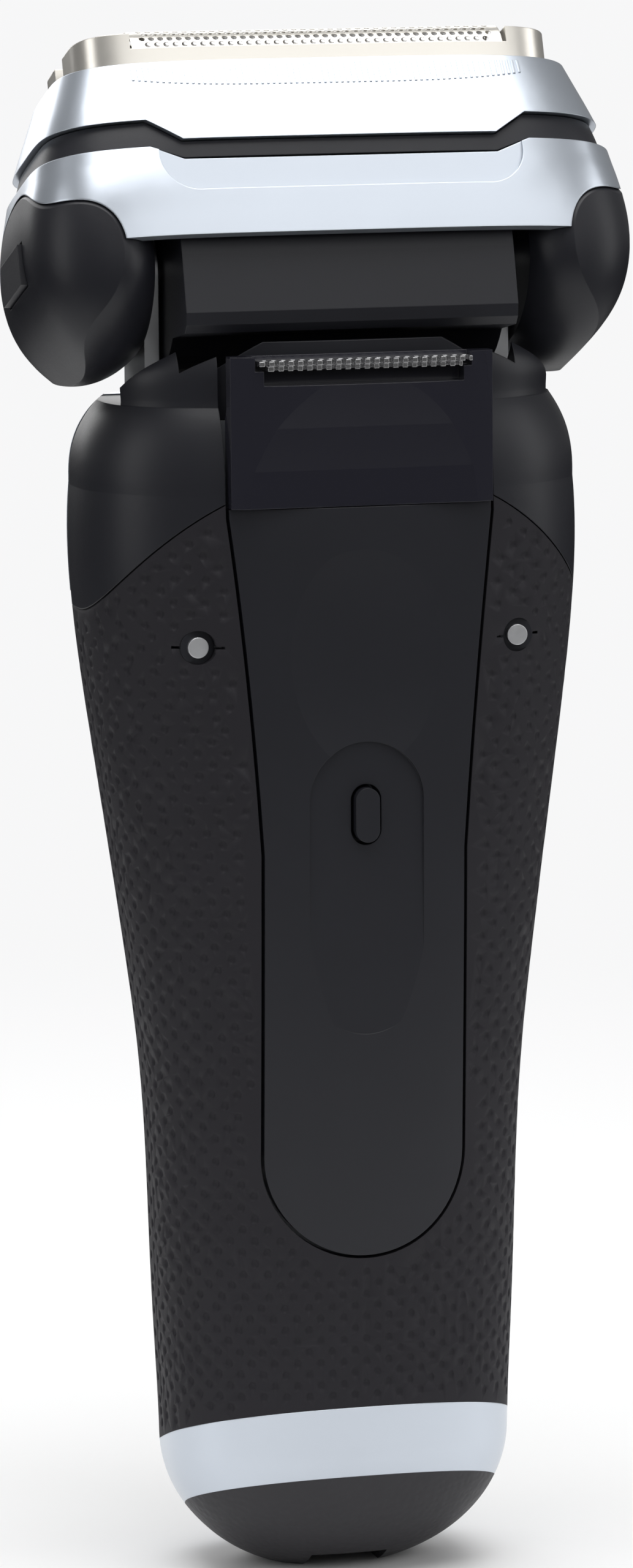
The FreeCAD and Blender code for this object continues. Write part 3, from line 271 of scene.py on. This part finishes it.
class Surface(Enum):
    """Every finish on the shaver, by the material slot of its maker's list."""

    satin_silver = Finish(
        "Satin silver", colour=(0.62, 0.67, 0.74), metallic=0.85, roughness=0.3, grain=0.25 * MM,
        relief=0.0015 * MM, spread=0.04, shade=0.02, coat=0.2, coat_roughness=0.2,
    )
    bright_silver = Finish(
        "Bright silver", colour=(0.86, 0.87, 0.89), metallic=1.0, roughness=0.38, grain=0.6 * MM,
        relief=0.0015 * MM, spread=0.04, shade=0.02,
    )
    champagne_metal = BrushedFinish(
        "Champagne metal", colour=(0.8, 0.77, 0.71), metallic=0.9, roughness=0.3, grain=0.2 * MM,
        relief=0.0015 * MM, spread=0.05, shade=0.02,
    )
    blade_steel = BrushedFinish(
        "Ground blade steel", colour=(0.62, 0.62, 0.63), metallic=1.0, roughness=0.26,
        grain=0.2 * MM, relief=0.003 * MM, spread=0.06, shade=0.04,
    )
    black_satin = Finish(
        "Black satin plastic", colour=(0.0145, 0.015, 0.0195), metallic=0.0, roughness=0.4,
        grain=0.2 * MM, relief=0.005 * MM, spread=0.06, shade=0.08, specular=0.35,
    )
    black_gloss = Finish(
        "Black gloss plastic", colour=(0.02, 0.02, 0.028), metallic=0.0, roughness=0.2,
        grain=0.8 * MM, relief=0.001 * MM, spread=0.03, shade=0.05, coat=0.5, coat_roughness=0.05,
    )
    grip_rubber = Finish(
        "Grip rubber", colour=(0.0185, 0.0175, 0.0215), metallic=0.0, roughness=0.6,
        grain=0.16 * MM, relief=0.008 * MM, spread=0.08, shade=0.1, specular=0.22,
    )
    textured_black = PebbledFinish(
        "Pebbled black plastic", colour=(0.026, 0.025, 0.029), metallic=0.0, roughness=0.5,
        grain=0.7 * MM, relief=0.06 * MM, spread=0.08, shade=0.1, specular=0.4,
    )
    window_gloss = Finish(
        "Clear window", colour=(0.006, 0.007, 0.01), metallic=0.0, roughness=0.06, grain=1 * MM,
        relief=0.0005 * MM, spread=0.02, shade=0.03, coat=1.0, coat_roughness=0.02,
    )
    board_green = Finish(
        "Green solder mask", colour=(0.015, 0.12, 0.045), metallic=0.0, roughness=0.35,
        grain=0.5 * MM, relief=0.004 * MM, spread=0.08, shade=0.15, coat=0.3, coat_roughness=0.1,
    )
    copper = BrushedFinish(
        "Enamelled copper", colour=(0.65, 0.27, 0.12), metallic=0.9, roughness=0.3, grain=0.3 * MM,
        relief=0.02 * MM, spread=0.05, shade=0.1,
    )
    cell_wrap = Finish(
        "Cell wrap", colour=(0.06, 0.2, 0.42), metallic=0.0, roughness=0.25, grain=0.9 * MM,
        relief=0.004 * MM, spread=0.05, shade=0.06, coat=0.4, coat_roughness=0.08,
    )
    frame_plastic = Finish(
        "Inner moulded plastic", colour=(0.22, 0.23, 0.25), metallic=0.0, roughness=0.5,
        grain=0.3 * MM, relief=0.006 * MM, spread=0.08, shade=0.06,
    )
    core_steel = BrushedFinish(
        "Laminated core steel", colour=(0.3, 0.3, 0.32), metallic=0.85, roughness=0.42,
        grain=0.4 * MM, relief=0.01 * MM, spread=0.08, shade=0.08,
    )
    gasket_rubber = Finish(
        "Gasket rubber", colour=(0.03, 0.03, 0.032), metallic=0.0, roughness=0.65, grain=0.2 * MM,
        relief=0.008 * MM, spread=0.08, shade=0.08,
    )


def dress_frame() -> None:
    """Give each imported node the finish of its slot."""
    for entry in frame["record"]["subparts"]:
        node = frame["nodes"][entry["node"]]
        node.data.materials.clear()
        node.data.materials.append(Surface[entry["material_slot"]].value.material())


# ---- mesh tools --------------------------------------------------------------------------------------------

def add_piece(name: str, vertices: Iterable, faces: Iterable, surface: Surface,
              sharp: float = SMOOTH_BELOW) -> bpy.types.Object:
    """Make a finished piece from points and faces.

    Args:
        name: Name of the piece.
        vertices: Points in metres.
        faces: Corner numbers of each face.
        surface: Finish of the piece.
        sharp: Smallest angle of an edge that stays sharp, in degrees.

    Returns:
        The new object, dressed.
    """
    mesh = bpy.data.meshes.new(name)
    mesh.from_pydata([tuple(v) for v in vertices], [], [tuple(f) for f in faces])
    return finish_piece(name, mesh, surface, sharp)


def finish_piece(name: str, mesh: bpy.types.Mesh, surface: Surface,
                 sharp: float = SMOOTH_BELOW) -> bpy.types.Object:
    """Clean, shade and dress a mesh, and put it in the scene.

    Args:
        name: Name of the piece.
        mesh: Its mesh.
        surface: Its finish.
        sharp: Smallest angle of an edge that stays sharp, in degrees.

    Returns:
        The new object.
    """
    work = bmesh.new()
    work.from_mesh(mesh)
    bmesh.ops.remove_doubles(work, verts=work.verts, dist=2 * WELD)
    bmesh.ops.dissolve_degenerate(work, edges=work.edges, dist=SLIVER)
    bmesh.ops.recalc_face_normals(work, faces=work.faces)
    work.to_mesh(mesh)
    work.free()
    mesh.shade_smooth()
    mesh.set_sharp_from_angle(angle=math.radians(sharp))
    mesh.materials.clear()
    mesh.materials.append(surface.value.material())
    piece = bpy.data.objects.new(name, mesh)
    bpy.context.scene.collection.objects.link(piece)
    LOG.info("made %s with %d faces", name, len(mesh.polygons))
    return piece


def welded_copy(node: str) -> bmesh.types.BMesh:
    """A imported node's mesh with its face seams welded.

    Args:
        node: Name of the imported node.

    Returns:
        A mesh that the caller frees.
    """
    work = bmesh.new()
    work.from_mesh(frame["nodes"][node].data)
    bmesh.ops.remove_doubles(work, verts=work.verts, dist=WELD)
    return work


def carve(base: bmesh.types.BMesh, vertices: list, faces: list) -> bpy.types.Mesh:
    """Take closed tools away from a closed mesh.

    Args:
        base: The blank, which is freed here.
        vertices: Points of all tools.
        faces: Faces of all tools.

    Returns:
        The carved mesh.
    """
    blank_mesh = bpy.data.meshes.new("Blank")
    base.to_mesh(blank_mesh)
    base.free()
    tool_mesh = bpy.data.meshes.new("Tools")
    tool_mesh.from_pydata([tuple(v) for v in vertices], [], faces)
    blank = bpy.data.objects.new("Blank", blank_mesh)
    tool = bpy.data.objects.new("Tools", tool_mesh)
    for item in (blank, tool):
        bpy.context.scene.collection.objects.link(item)
    boolean = blank.modifiers.new("Carve", "BOOLEAN")
    boolean.operation = "DIFFERENCE"
    boolean.solver = "MANIFOLD"
    boolean.object = tool
    evaluated = blank.evaluated_get(bpy.context.evaluated_depsgraph_get())
    carved = bpy.data.meshes.new_from_object(evaluated)
    for item in (blank, tool):
        bpy.data.objects.remove(item)
    return carved


def head_space() -> Matrix:
    """Placement of the head's own frame, leaning forward about its pivot."""
    joints = frame["record"]["behaviour"]["joints"]
    tilt = next(joint for joint in joints if joint["name"] == "head_tilt")
    return Matrix.Translation(Vector(tilt["pos_m"])) @ Matrix.Rotation(math.radians(HEAD_LEAN), 4, "X")


def slab(rows: list) -> tuple[list, list]:
    """A closed slab from a grid of outer and inner points.

    Args:
        rows: Rows of (outer, inner) point pairs.

    Returns:
        Points and faces of the slab.
    """
    wide = len(rows[0])
    outer = [pair[0] for row in rows for pair in row]
    inner = [pair[1] for row in rows for pair in row]
    count = len(outer)
    faces = []
    for row in range(len(rows) - 1):
        for column in range(wide - 1):
            corner = row * wide + column
            faces.append((corner, corner + 1, corner + wide + 1, corner + wide))
            faces.append(tuple(count + k for k in (corner, corner + wide, corner + wide + 1, corner + 1)))
    rim = list(range(wide))
    rim += [row * wide + wide - 1 for row in range(1, len(rows))]
    rim += [count - 1 - column for column in range(1, wide)]
    rim += [row * wide for row in range(len(rows) - 2, 0, -1)]
    for here, there in zip(rim, rim[1:] + rim[:1]):
        faces.append((here, count + here, count + there, there))
    return outer + inner, faces


def append_part(vertices: list, faces: list, part: tuple[list, list]) -> None:
    """Add one part's points and faces to those of a growing piece.

    Args:
        vertices: Points so far.
        faces: Faces so far.
        part: Points and faces of the part.
    """
    start = len(vertices)
    vertices.extend(part[0])
    faces.extend(tuple(start + corner for corner in face) for face in part[1])


# ---- handle ------------------------------------------------------------------------------------------------

@dataclass
class Grip:
    """The rubber sleeve with its lattice of small dimples.

    Attributes:
        columns: Number of dimple columns round the handle.
        pitch: Distance between dimples in a column.
        wide: Half width of a dimple.
        tall: Half height of a dimple.
        depth: Depth of a dimple.
        margin: Plain rubber left at each edge.
        lift: Height of a dimple's middle over the rubber, as a share of its tool's half height.
        reach: Start of the search for the rubber, from the handle's middle.
        samples: Points round the handle that its girth is measured from.
        even: Least agreement of the facing round a dimple.
        step: Largest step in the rubber round a dimple.
    """

    columns: int = 44
    pitch: float = 2.45 * MM
    wide: float = 0.42 * MM
    tall: float = 0.52 * MM
    depth: float = 0.17 * MM
    margin: float = 1.1 * MM
    lift: float = 0.35
    reach: float = 60.0 * MM
    samples: int = 240
    even: float = 0.94
    step: float = 0.3 * MM

    def build(self) -> None:
        """Carve the dimples and stand in for the plain sleeve."""
        blank = welded_copy("grip_sleeve")
        tree = BVHTree.FromBMesh(blank)
        tool = self.tool()
        vertices, faces = [], []
        for place, normal in self.lattice(tree):
            across = UP.cross(normal).normalized()
            turn = Matrix((across, normal.cross(across), normal)).transposed()
            append_part(vertices, faces, ([place + turn @ point for point in tool[0]], tool[1]))
        piece = finish_piece("Dimpled_grip", carve(blank, vertices, faces), Surface.grip_rubber)
        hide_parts("grip_sleeve")
        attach(piece, "root")

    def tool(self) -> tuple[list, list]:
        """One dimple's ellipsoid, centred just above the surface."""
        work = bmesh.new()
        bmesh.ops.create_icosphere(work, subdivisions=2, radius=1.0)
        swell = 1.0 / math.sqrt(1.0 - self.lift ** 2)
        deep = self.depth / (1.0 - self.lift)
        points = [
            Vector((v.co.x * self.wide * swell, v.co.y * self.tall * swell, (v.co.z + self.lift) * deep))
            for v in work.verts
        ]
        faces = [tuple(v.index for v in face.verts) for face in work.faces]
        work.free()
        return points, faces

    def lattice(self, tree: BVHTree) -> Iterator[tuple[Vector, Vector]]:
        """Places and normals of the dimples.

        Args:
            tree: Search tree of the plain sleeve.

        Yields:
            A point on the rubber and its outward normal.
        """
        low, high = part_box("grip_sleeve")
        middle = (low[1] + high[1]) / 2
        rows = int((high[2] - low[2]) / self.pitch * 2) + 1
        for row in range(rows):
            level = low[2] + row * self.pitch / 2
            ring = self.ring(tree, middle, level)
            if not ring:
                continue
            for column in range(row % 2, 2 * self.columns, 2):
                place, normal = ring[column]
                if place is not None and self.plain_around(tree, place, normal):
                    yield place, normal

    def ring(self, tree: BVHTree, middle: float, level: float) -> list:
        """Evenly spaced points round the sleeve at a level.

        Args:
            tree: Search tree of the plain sleeve.
            middle: Y of the handle's middle.
            level: Z of the ring.

        Returns:
            Pairs of point and normal, two for each column, starting at the rear.
        """
        axis = Vector((0.0, middle, level))
        turns = [math.pi / 2 + 2 * math.pi * step / self.samples for step in range(self.samples + 1)]
        radii = [None if place is None else (place - axis).length
                 for place, _ in (self.skin(tree, axis, angle) for angle in turns)]
        if sum(radius is not None for radius in radii) < self.samples // 3:
            return []
        radii = self.filled(radii)
        outline = [Vector((math.cos(angle), math.sin(angle))) * radius for angle, radius in zip(turns, radii)]
        length = [0.0]
        for here, there in zip(outline, outline[1:]):
            length.append(length[-1] + (there - here).length)
        result = []
        step = 0
        for slot in range(2 * self.columns):
            goal = length[-1] * slot / (2 * self.columns)
            while length[step + 1] < goal:
                step += 1
            share = (goal - length[step]) / (length[step + 1] - length[step])
            result.append(self.skin(tree, axis, turns[step] + share * 2 * math.pi / self.samples))
        return result

    def skin(self, tree: BVHTree, axis: Vector, angle: float) -> tuple:
        """The rubber in one direction from the handle's middle.

        Args:
            tree: Search tree of the plain sleeve.
            axis: Middle of the handle at the level.
            angle: Direction in radians, from +X towards +Y.

        Returns:
            A point and its outward normal, or two Nones where the sleeve is open.
        """
        away = Vector((math.cos(angle), math.sin(angle), 0.0))
        place, normal, _, _ = tree.ray_cast(axis + away * self.reach, -away)
        return place, normal

    @staticmethod
    def filled(values: list) -> list:
        """Values with each gap filled from the last one known.

        Args:
            values: Numbers, with None in the gaps.

        Returns:
            Numbers only.
        """
        last = next(value for value in values if value is not None)
        result = []
        for value in values:
            last = last if value is None else value
            result.append(last)
        return result

    def plain_around(self, tree: BVHTree, place: Vector, normal: Vector) -> bool:
        """Whether the rubber is smooth all round a place.

        Args:
            tree: Search tree of the plain sleeve.
            place: Middle of the dimple.
            normal: Outward normal there.

        Returns:
            True if the surface goes on evenly for the margin on each side.
        """
        across = UP.cross(normal).normalized()
        for aside in (across, -across, UP, -UP):
            start = place + aside * self.margin + normal * MM
            hit, facing, _, _ = tree.ray_cast(start, -normal, 2 * MM)
            if hit is None or facing.dot(normal) < self.even or abs((hit - start).length - MM) > self.step:
                return False
        return True


# ---- head --------------------------------------------------------------------------------------------------

@dataclass
class Foil:
    """A perforated foil bowed over its cutters.

    Attributes:
        end: Which foil it is, rear or front.
        side: 1 for the rear foil and -1 for the front one.
        middle: Distance of the foil's middle from the middle plane.
        axis: Height of the bow's axis in the head's frame.
        radius: Radius of the bow.
        half: Half length of the foil.
        skirt: Straight part under the bow on each side.
        pitch: Distance between holes.
        hole: Radius of a hole.
        thick: Thickness of the sheet.
        plain: Unperforated edge.
        corners: Corners of a hole.
        weld: Distance within which neighbouring cells share their points.
        sharp: Smallest angle of an edge that stays sharp, in degrees.
    """

    end: str
    side: int
    middle: float = 6.35 * MM
    axis: float = 20.6 * MM
    radius: float = 3.7 * MM
    half: float = 20.3 * MM
    skirt: float = 2.5 * MM
    pitch: float = 1.0 * MM
    hole: float = 0.33 * MM
    thick: float = 0.07 * MM
    plain: float = 0.9 * MM
    corners: int = 12
    weld: float = 0.01 * MM
    sharp: float = 50.0

    def build(self) -> None:
        """Perforate, bow and thicken the sheet, and stand in for the plain one."""
        place = head_space()
        half_long = self.skirt + math.pi * self.radius / 2
        work = bmesh.new()
        step_v = self.pitch * math.sqrt(3) / 2
        rows = int(half_long / step_v) + 1
        columns = int(self.half / self.pitch) + 1
        for row in range(-rows, rows + 1):
            for column in range(-columns - 1, columns + 1):
                u = (column + 0.5 * (row % 2)) * self.pitch
                self.cell(work, u, row * step_v, half_long)
        bmesh.ops.remove_doubles(work, verts=work.verts, dist=self.weld)
        bmesh.ops.dissolve_degenerate(work, edges=work.edges, dist=self.weld / 2)
        for vertex in work.verts:
            vertex.co = place @ self.bow(vertex.co.x, vertex.co.y)
        bmesh.ops.recalc_face_normals(work, faces=work.faces)
        bmesh.ops.solidify(work, geom=work.faces[:], thickness=self.thick)
        mesh = bpy.data.meshes.new(f"Foil_{self.end}")
        work.to_mesh(mesh)
        work.free()
        piece = finish_piece(f"Perforated_foil_{self.end}", mesh, Surface.champagne_metal, self.sharp)
        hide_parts(f"foil_{self.end}")
        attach(piece, f"foil_unit_{self.end}")

    def cell(self, work: bmesh.types.BMesh, u: float, v: float, half_long: float) -> None:
        """Add one cell of the sheet, with its hole if it is well inside.

        Args:
            work: Mesh to add to.
            u: Middle of the cell along the foil.
            v: Middle of the cell across the foil.
            half_long: Half of the sheet's size across.
        """
        wide = self.pitch / math.sqrt(3)
        turns = [math.radians(30 + 60 * corner) for corner in range(7)]
        tips = [Vector((u + wide * math.cos(turn), v + wide * math.sin(turn), 0.0)) for turn in turns]
        rim = []
        for start, end in zip(tips, tips[1:]):
            rim.extend((start.copy(), (start + end) / 2))
        for point in rim:
            point.x = max(-self.half, min(self.half, point.x))
            point.y = max(-half_long, min(half_long, point.y))
        outer = [work.verts.new(point) for point in rim]
        if abs(u) > self.half - self.plain or abs(v) > half_long - self.plain - self.skirt:
            work.faces.new(outer)
            return
        inner = []
        for corner in range(self.corners):
            turn = math.radians(30 + 360 / self.corners * corner)
            place = (u + self.hole * math.cos(turn), v + self.hole * math.sin(turn), 0.0)
            inner.append(work.verts.new(place))
        for corner in range(self.corners):
            after = (corner + 1) % self.corners
            work.faces.new((outer[corner], outer[after], inner[after], inner[corner]))

    def bow(self, u: float, v: float) -> Vector:
        """Place of a sheet point once the sheet is bowed.

        Args:
            u: Place along the foil.
            v: Place across the flat sheet.

        Returns:
            The point in the head's frame.
        """
        quarter = math.pi * self.radius / 2
        if abs(v) <= quarter:
            angle = v / self.radius
            y, z = self.radius * math.sin(angle), self.radius * math.cos(angle)
        else:
            y, z = math.copysign(self.radius, v), quarter - abs(v)
        return Vector((u, self.side * self.middle + y, self.axis + z))


@dataclass
class CassetteTrim:
    """The fine ribs on each long side of the silver frame.

    Attributes:
        half: Half length of the ribbed field.
        low: Lower edge of the field at its middle, in the head's frame.
        high: Upper edge of the field.
        sag: How far the lower edge climbs towards its ends.
        rib_pitch: Distance between ribs.
        rib_half: Half width of a rib.
        rib_proud: Height of a rib over the frame.
        rib_sunk: Depth of its root in the frame.
        steps: Spans up a rib.
        reach: Start of the search for the frame's skin, from the middle plane.
        sharp: Smallest angle of an edge that stays sharp, in degrees.
    """

    half: float = 21.6 * MM
    low: float = 16.4 * MM
    high: float = 18.9 * MM
    sag: float = 1.1 * MM
    rib_pitch: float = 0.62 * MM
    rib_half: float = 0.14 * MM
    rib_proud: float = 0.11 * MM
    rib_sunk: float = 0.1 * MM
    steps: int = 6
    reach: float = 40.0 * MM
    sharp: float = 60.0

    def build(self) -> None:
        """Lay the ribs on the rear and the front."""
        place = head_space()
        blank = welded_copy("cassette_frame")
        tree = BVHTree.FromBMesh(blank)
        blank.free()
        vertices, faces = [], []
        count = int(self.half / self.rib_pitch)
        for side in (1, -1):
            for rib in range(-count, count + 1):
                append_part(vertices, faces, self.rib(tree, place, side, rib * self.rib_pitch))
        ribs = add_piece("Cassette_ribs", vertices, faces, Surface.satin_silver, self.sharp)
        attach(ribs, "cassette")

    def rib(self, tree: BVHTree, place: Matrix, side: int, u: float) -> tuple[list, list]:
        """One rib that follows the frame's skin.

        Args:
            tree: Search tree of the plain frame.
            place: The head's frame.
            side: 1 at the rear and -1 at the front.
            u: Place of the rib along the head.

        Returns:
            Points and faces of the rib.
        """
        rows = []
        for step in range(self.steps + 1):
            level = self.level(u, step / self.steps)
            edges = (u - self.rib_half, u + self.rib_half)
            rows.append([self.pair(tree, place, side, edge, level) for edge in edges])
        return slab(rows)

    def level(self, u: float, share: float) -> float:
        """Height on the field, from its bowed lower edge to its straight upper one.

        Args:
            u: Place along the head.
            share: 0 at the lower edge and 1 at the upper one.

        Returns:
            The height in the head's frame.
        """
        low = self.low + self.sag * (u / self.half) ** 4
        return low + (self.high - low) * share

    def pair(self, tree: BVHTree, place: Matrix, side: int, u: float, level: float) -> tuple[Vector, Vector]:
        """A point over the frame's skin and one under it.

        Args:
            tree: Search tree of the plain frame.
            place: The head's frame.
            side: 1 at the rear and -1 at the front.
            u: Place along the head.
            level: Height in the head's frame.

        Returns:
            The outer and the inner point in the object's frame.
        """
        start = place @ Vector((u, side * self.reach, level))
        away = place.to_3x3() @ Vector((0, side, 0))
        hit, _, _, _ = tree.ray_cast(start, -away)
        if hit is None:
            hit = start - away * self.reach
        return hit + away * self.rib_proud, hit - away * self.rib_sunk


# ---- stage -----------------------------------------------------------------------------------------------

@dataclass(frozen=True)
class SoftBox:
    """A soft rectangular light that faces the shaver.

    Attributes:
        name: What the light does.
        place: Its middle, in metres.
        size: Its width and height.
        power: Its power in watts.
    """

    name: str
    place: tuple[float, float, float]
    size: tuple[float, float]
    power: float

    def hang(self, target: Vector) -> None:
        """Put the light in the scene.

        Args:
            target: Point that it faces.
        """
        data = bpy.data.lights.new(self.name, "AREA")
        data.shape = "RECTANGLE"
        data.size, data.size_y = self.size
        data.energy = self.power
        light = bpy.data.objects.new(self.name, data)
        light.location = self.place
        light.rotation_euler = (target - Vector(self.place)).to_track_quat("-Z", "Y").to_euler()
        bpy.context.scene.collection.objects.link(light)


@dataclass
class Studio:
    """Camera, lights, floor and backdrop.

    Attributes:
        target: Point that the camera and the lights face.
        azimuth: Turn of the camera from the rear, in degrees.
        elevation: Height of the camera above the level, in degrees.
        roll: Roll of the object in the frame, in degrees.
        distance: Camera distance.
        sensor: Height of the camera's sensor, in millimetres.
        lens: Focal length, in millimetres.
        shift: Camera shift to the side and up, in picture heights.
        far: Distance that the camera sees to.
        floor_half: Half size of the floor.
        floor_shade: Brightness of the floor.
        floor_rough: Roughness of the floor.
        fade_near: Distance from the shaver where the floor starts to fade into the backdrop.
        fade_far: Distance where only the backdrop is left.
        backdrop: Colour of the backdrop.
        sky: Strength of the even light from all round.
        boxes: Soft boxes above the camera, at both sides, overhead and in front.
    """

    target: Vector = field(default_factory=lambda: Vector((0.0, 4.0, 82.0)) * MM)
    azimuth: float = 15.0
    elevation: float = 8.5
    roll: float = 0.5
    distance: float = 0.772
    sensor: float = 24.0
    lens: float = 110.0
    shift: tuple[float, float] = (-0.0076, 0.0183)
    far: float = 20.0
    floor_half: float = 3.0
    floor_shade: float = 0.88
    floor_rough: float = 0.7
    fade_near: float = 0.1
    fade_far: float = 0.42
    backdrop: tuple[float, float, float] = (0.93, 0.93, 0.935)
    sky: float = 0.2
    boxes: tuple[SoftBox, ...] = (
        SoftBox("Key", (-0.25, 0.85, 0.62), (1.1, 0.6), 2.3),
        SoftBox("Rim_left", (0.95, 0.2, 0.25), (0.4, 1.0), 2.2),
        SoftBox("Rim_right", (-0.95, 0.2, 0.25), (0.4, 1.0), 2.2),
        SoftBox("Overhead", (0.0, 0.1, 0.95), (0.9, 0.9), 8.5),
        SoftBox("Front", (0.1, -0.95, 0.5), (0.9, 0.7), 4.5),
    )

    def build(self) -> None:
        """Make the whole stage."""
        self.add_camera()
        self.add_floor()
        self.add_world()
        for box in self.boxes:
            box.hang(self.target)
        bpy.context.scene.view_settings.view_transform = "Standard"
        LOG.info("made the studio with %d soft boxes", len(self.boxes))

    def add_camera(self) -> None:
        """Place the camera behind the shaver, slightly above it."""
        turn, rise = math.radians(self.azimuth), math.radians(self.elevation)
        level = Vector((math.sin(turn), math.cos(turn), 0.0))
        away = level * math.cos(rise) + UP * math.sin(rise)
        data = bpy.data.cameras.new("Camera")
        data.sensor_fit = "VERTICAL"
        data.sensor_height = self.sensor
        data.lens = self.lens
        data.shift_x, data.shift_y = self.shift
        data.clip_end = self.far
        camera = bpy.data.objects.new("Camera", data)
        look = (-away).to_track_quat("-Z", "Y").to_matrix().to_4x4()
        spin = Matrix.Rotation(math.radians(-self.roll), 4, "Z")
        camera.matrix_world = Matrix.Translation(self.target + away * self.distance) @ look @ spin
        bpy.context.scene.collection.objects.link(camera)
        bpy.context.scene.camera = camera

    def add_floor(self) -> None:
        """Lay a plain pale floor that runs out into the pale backdrop."""
        mesh = bpy.data.meshes.new("Floor")
        half = self.floor_half
        corners = [(-half, -half, 0), (half, -half, 0), (half, half, 0), (-half, half, 0)]
        mesh.from_pydata(corners, [], [(0, 1, 2, 3)])
        mesh.materials.append(self.floor_material())
        floor = bpy.data.objects.new("Floor", mesh)
        bpy.context.scene.collection.objects.link(floor)
        floor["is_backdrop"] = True

    def floor_material(self) -> bpy.types.Material:
        """Pale floor that fades into the backdrop with its distance from the shaver.

        Returns:
            The material.
        """
        material = bpy.data.materials.new("Pale floor")
        material.use_nodes = True
        tree = material.node_tree
        shader = tree.nodes["Principled BSDF"]
        shader.inputs["Base Color"].default_value = (self.floor_shade,) * 3 + (1.0,)
        shader.inputs["Roughness"].default_value = self.floor_rough
        place = tree.nodes.new("ShaderNodeTexCoord")
        length = tree.nodes.new("ShaderNodeVectorMath")
        length.operation = "LENGTH"
        tree.links.new(place.outputs["Object"], length.inputs[0])
        fade = tree.nodes.new("ShaderNodeMapRange")
        fade.interpolation_type = "SMOOTHSTEP"
        fade.inputs["From Min"].default_value = self.fade_near
        fade.inputs["From Max"].default_value = self.fade_far
        tree.links.new(length.outputs["Value"], fade.inputs["Value"])
        path = tree.nodes.new("ShaderNodeLightPath")
        glow = tree.nodes.new("ShaderNodeEmission")
        glow.inputs["Color"].default_value = (*self.backdrop, 1.0)
        tree.links.new(path.outputs["Is Camera Ray"], glow.inputs["Strength"])
        mix = tree.nodes.new("ShaderNodeMixShader")
        tree.links.new(fade.outputs["Result"], mix.inputs["Fac"])
        tree.links.new(shader.outputs["BSDF"], mix.inputs[1])
        tree.links.new(glow.outputs["Emission"], mix.inputs[2])
        tree.links.new(mix.outputs["Shader"], tree.nodes["Material Output"].inputs["Surface"])
        return material

    def add_world(self) -> None:
        """A pale backdrop for the camera and a dim even sky for the light."""
        world = bpy.data.worlds.new("Studio sky")
        world.use_nodes = True
        tree = world.node_tree
        background = tree.nodes["Background"]
        background.inputs["Color"].default_value = (*self.backdrop, 1.0)
        path = tree.nodes.new("ShaderNodeLightPath")
        strength = tree.nodes.new("ShaderNodeMapRange")
        strength.inputs["To Min"].default_value = self.sky
        strength.inputs["To Max"].default_value = 1.0
        tree.links.new(path.outputs["Is Camera Ray"], strength.inputs["Value"])
        tree.links.new(strength.outputs["Result"], background.inputs["Strength"])
        bpy.context.scene.world = world


def main() -> None:
    """Build the looks in order and report each piece."""
    logging.basicConfig(level=logging.INFO, format="%(name)s: %(message)s")
    dress_frame()
    Grip().build()
    for end, side in (("rear", 1), ("front", -1)):
        Foil(end, side).build()
    CassetteTrim().build()
    Studio().build()
    boxes = {"cad": CAD_BOX, "visual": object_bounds()}
    {name: [list(corner) for corner in box] for name, box in boxes.items()}


if __name__ == "__main__":
    main()
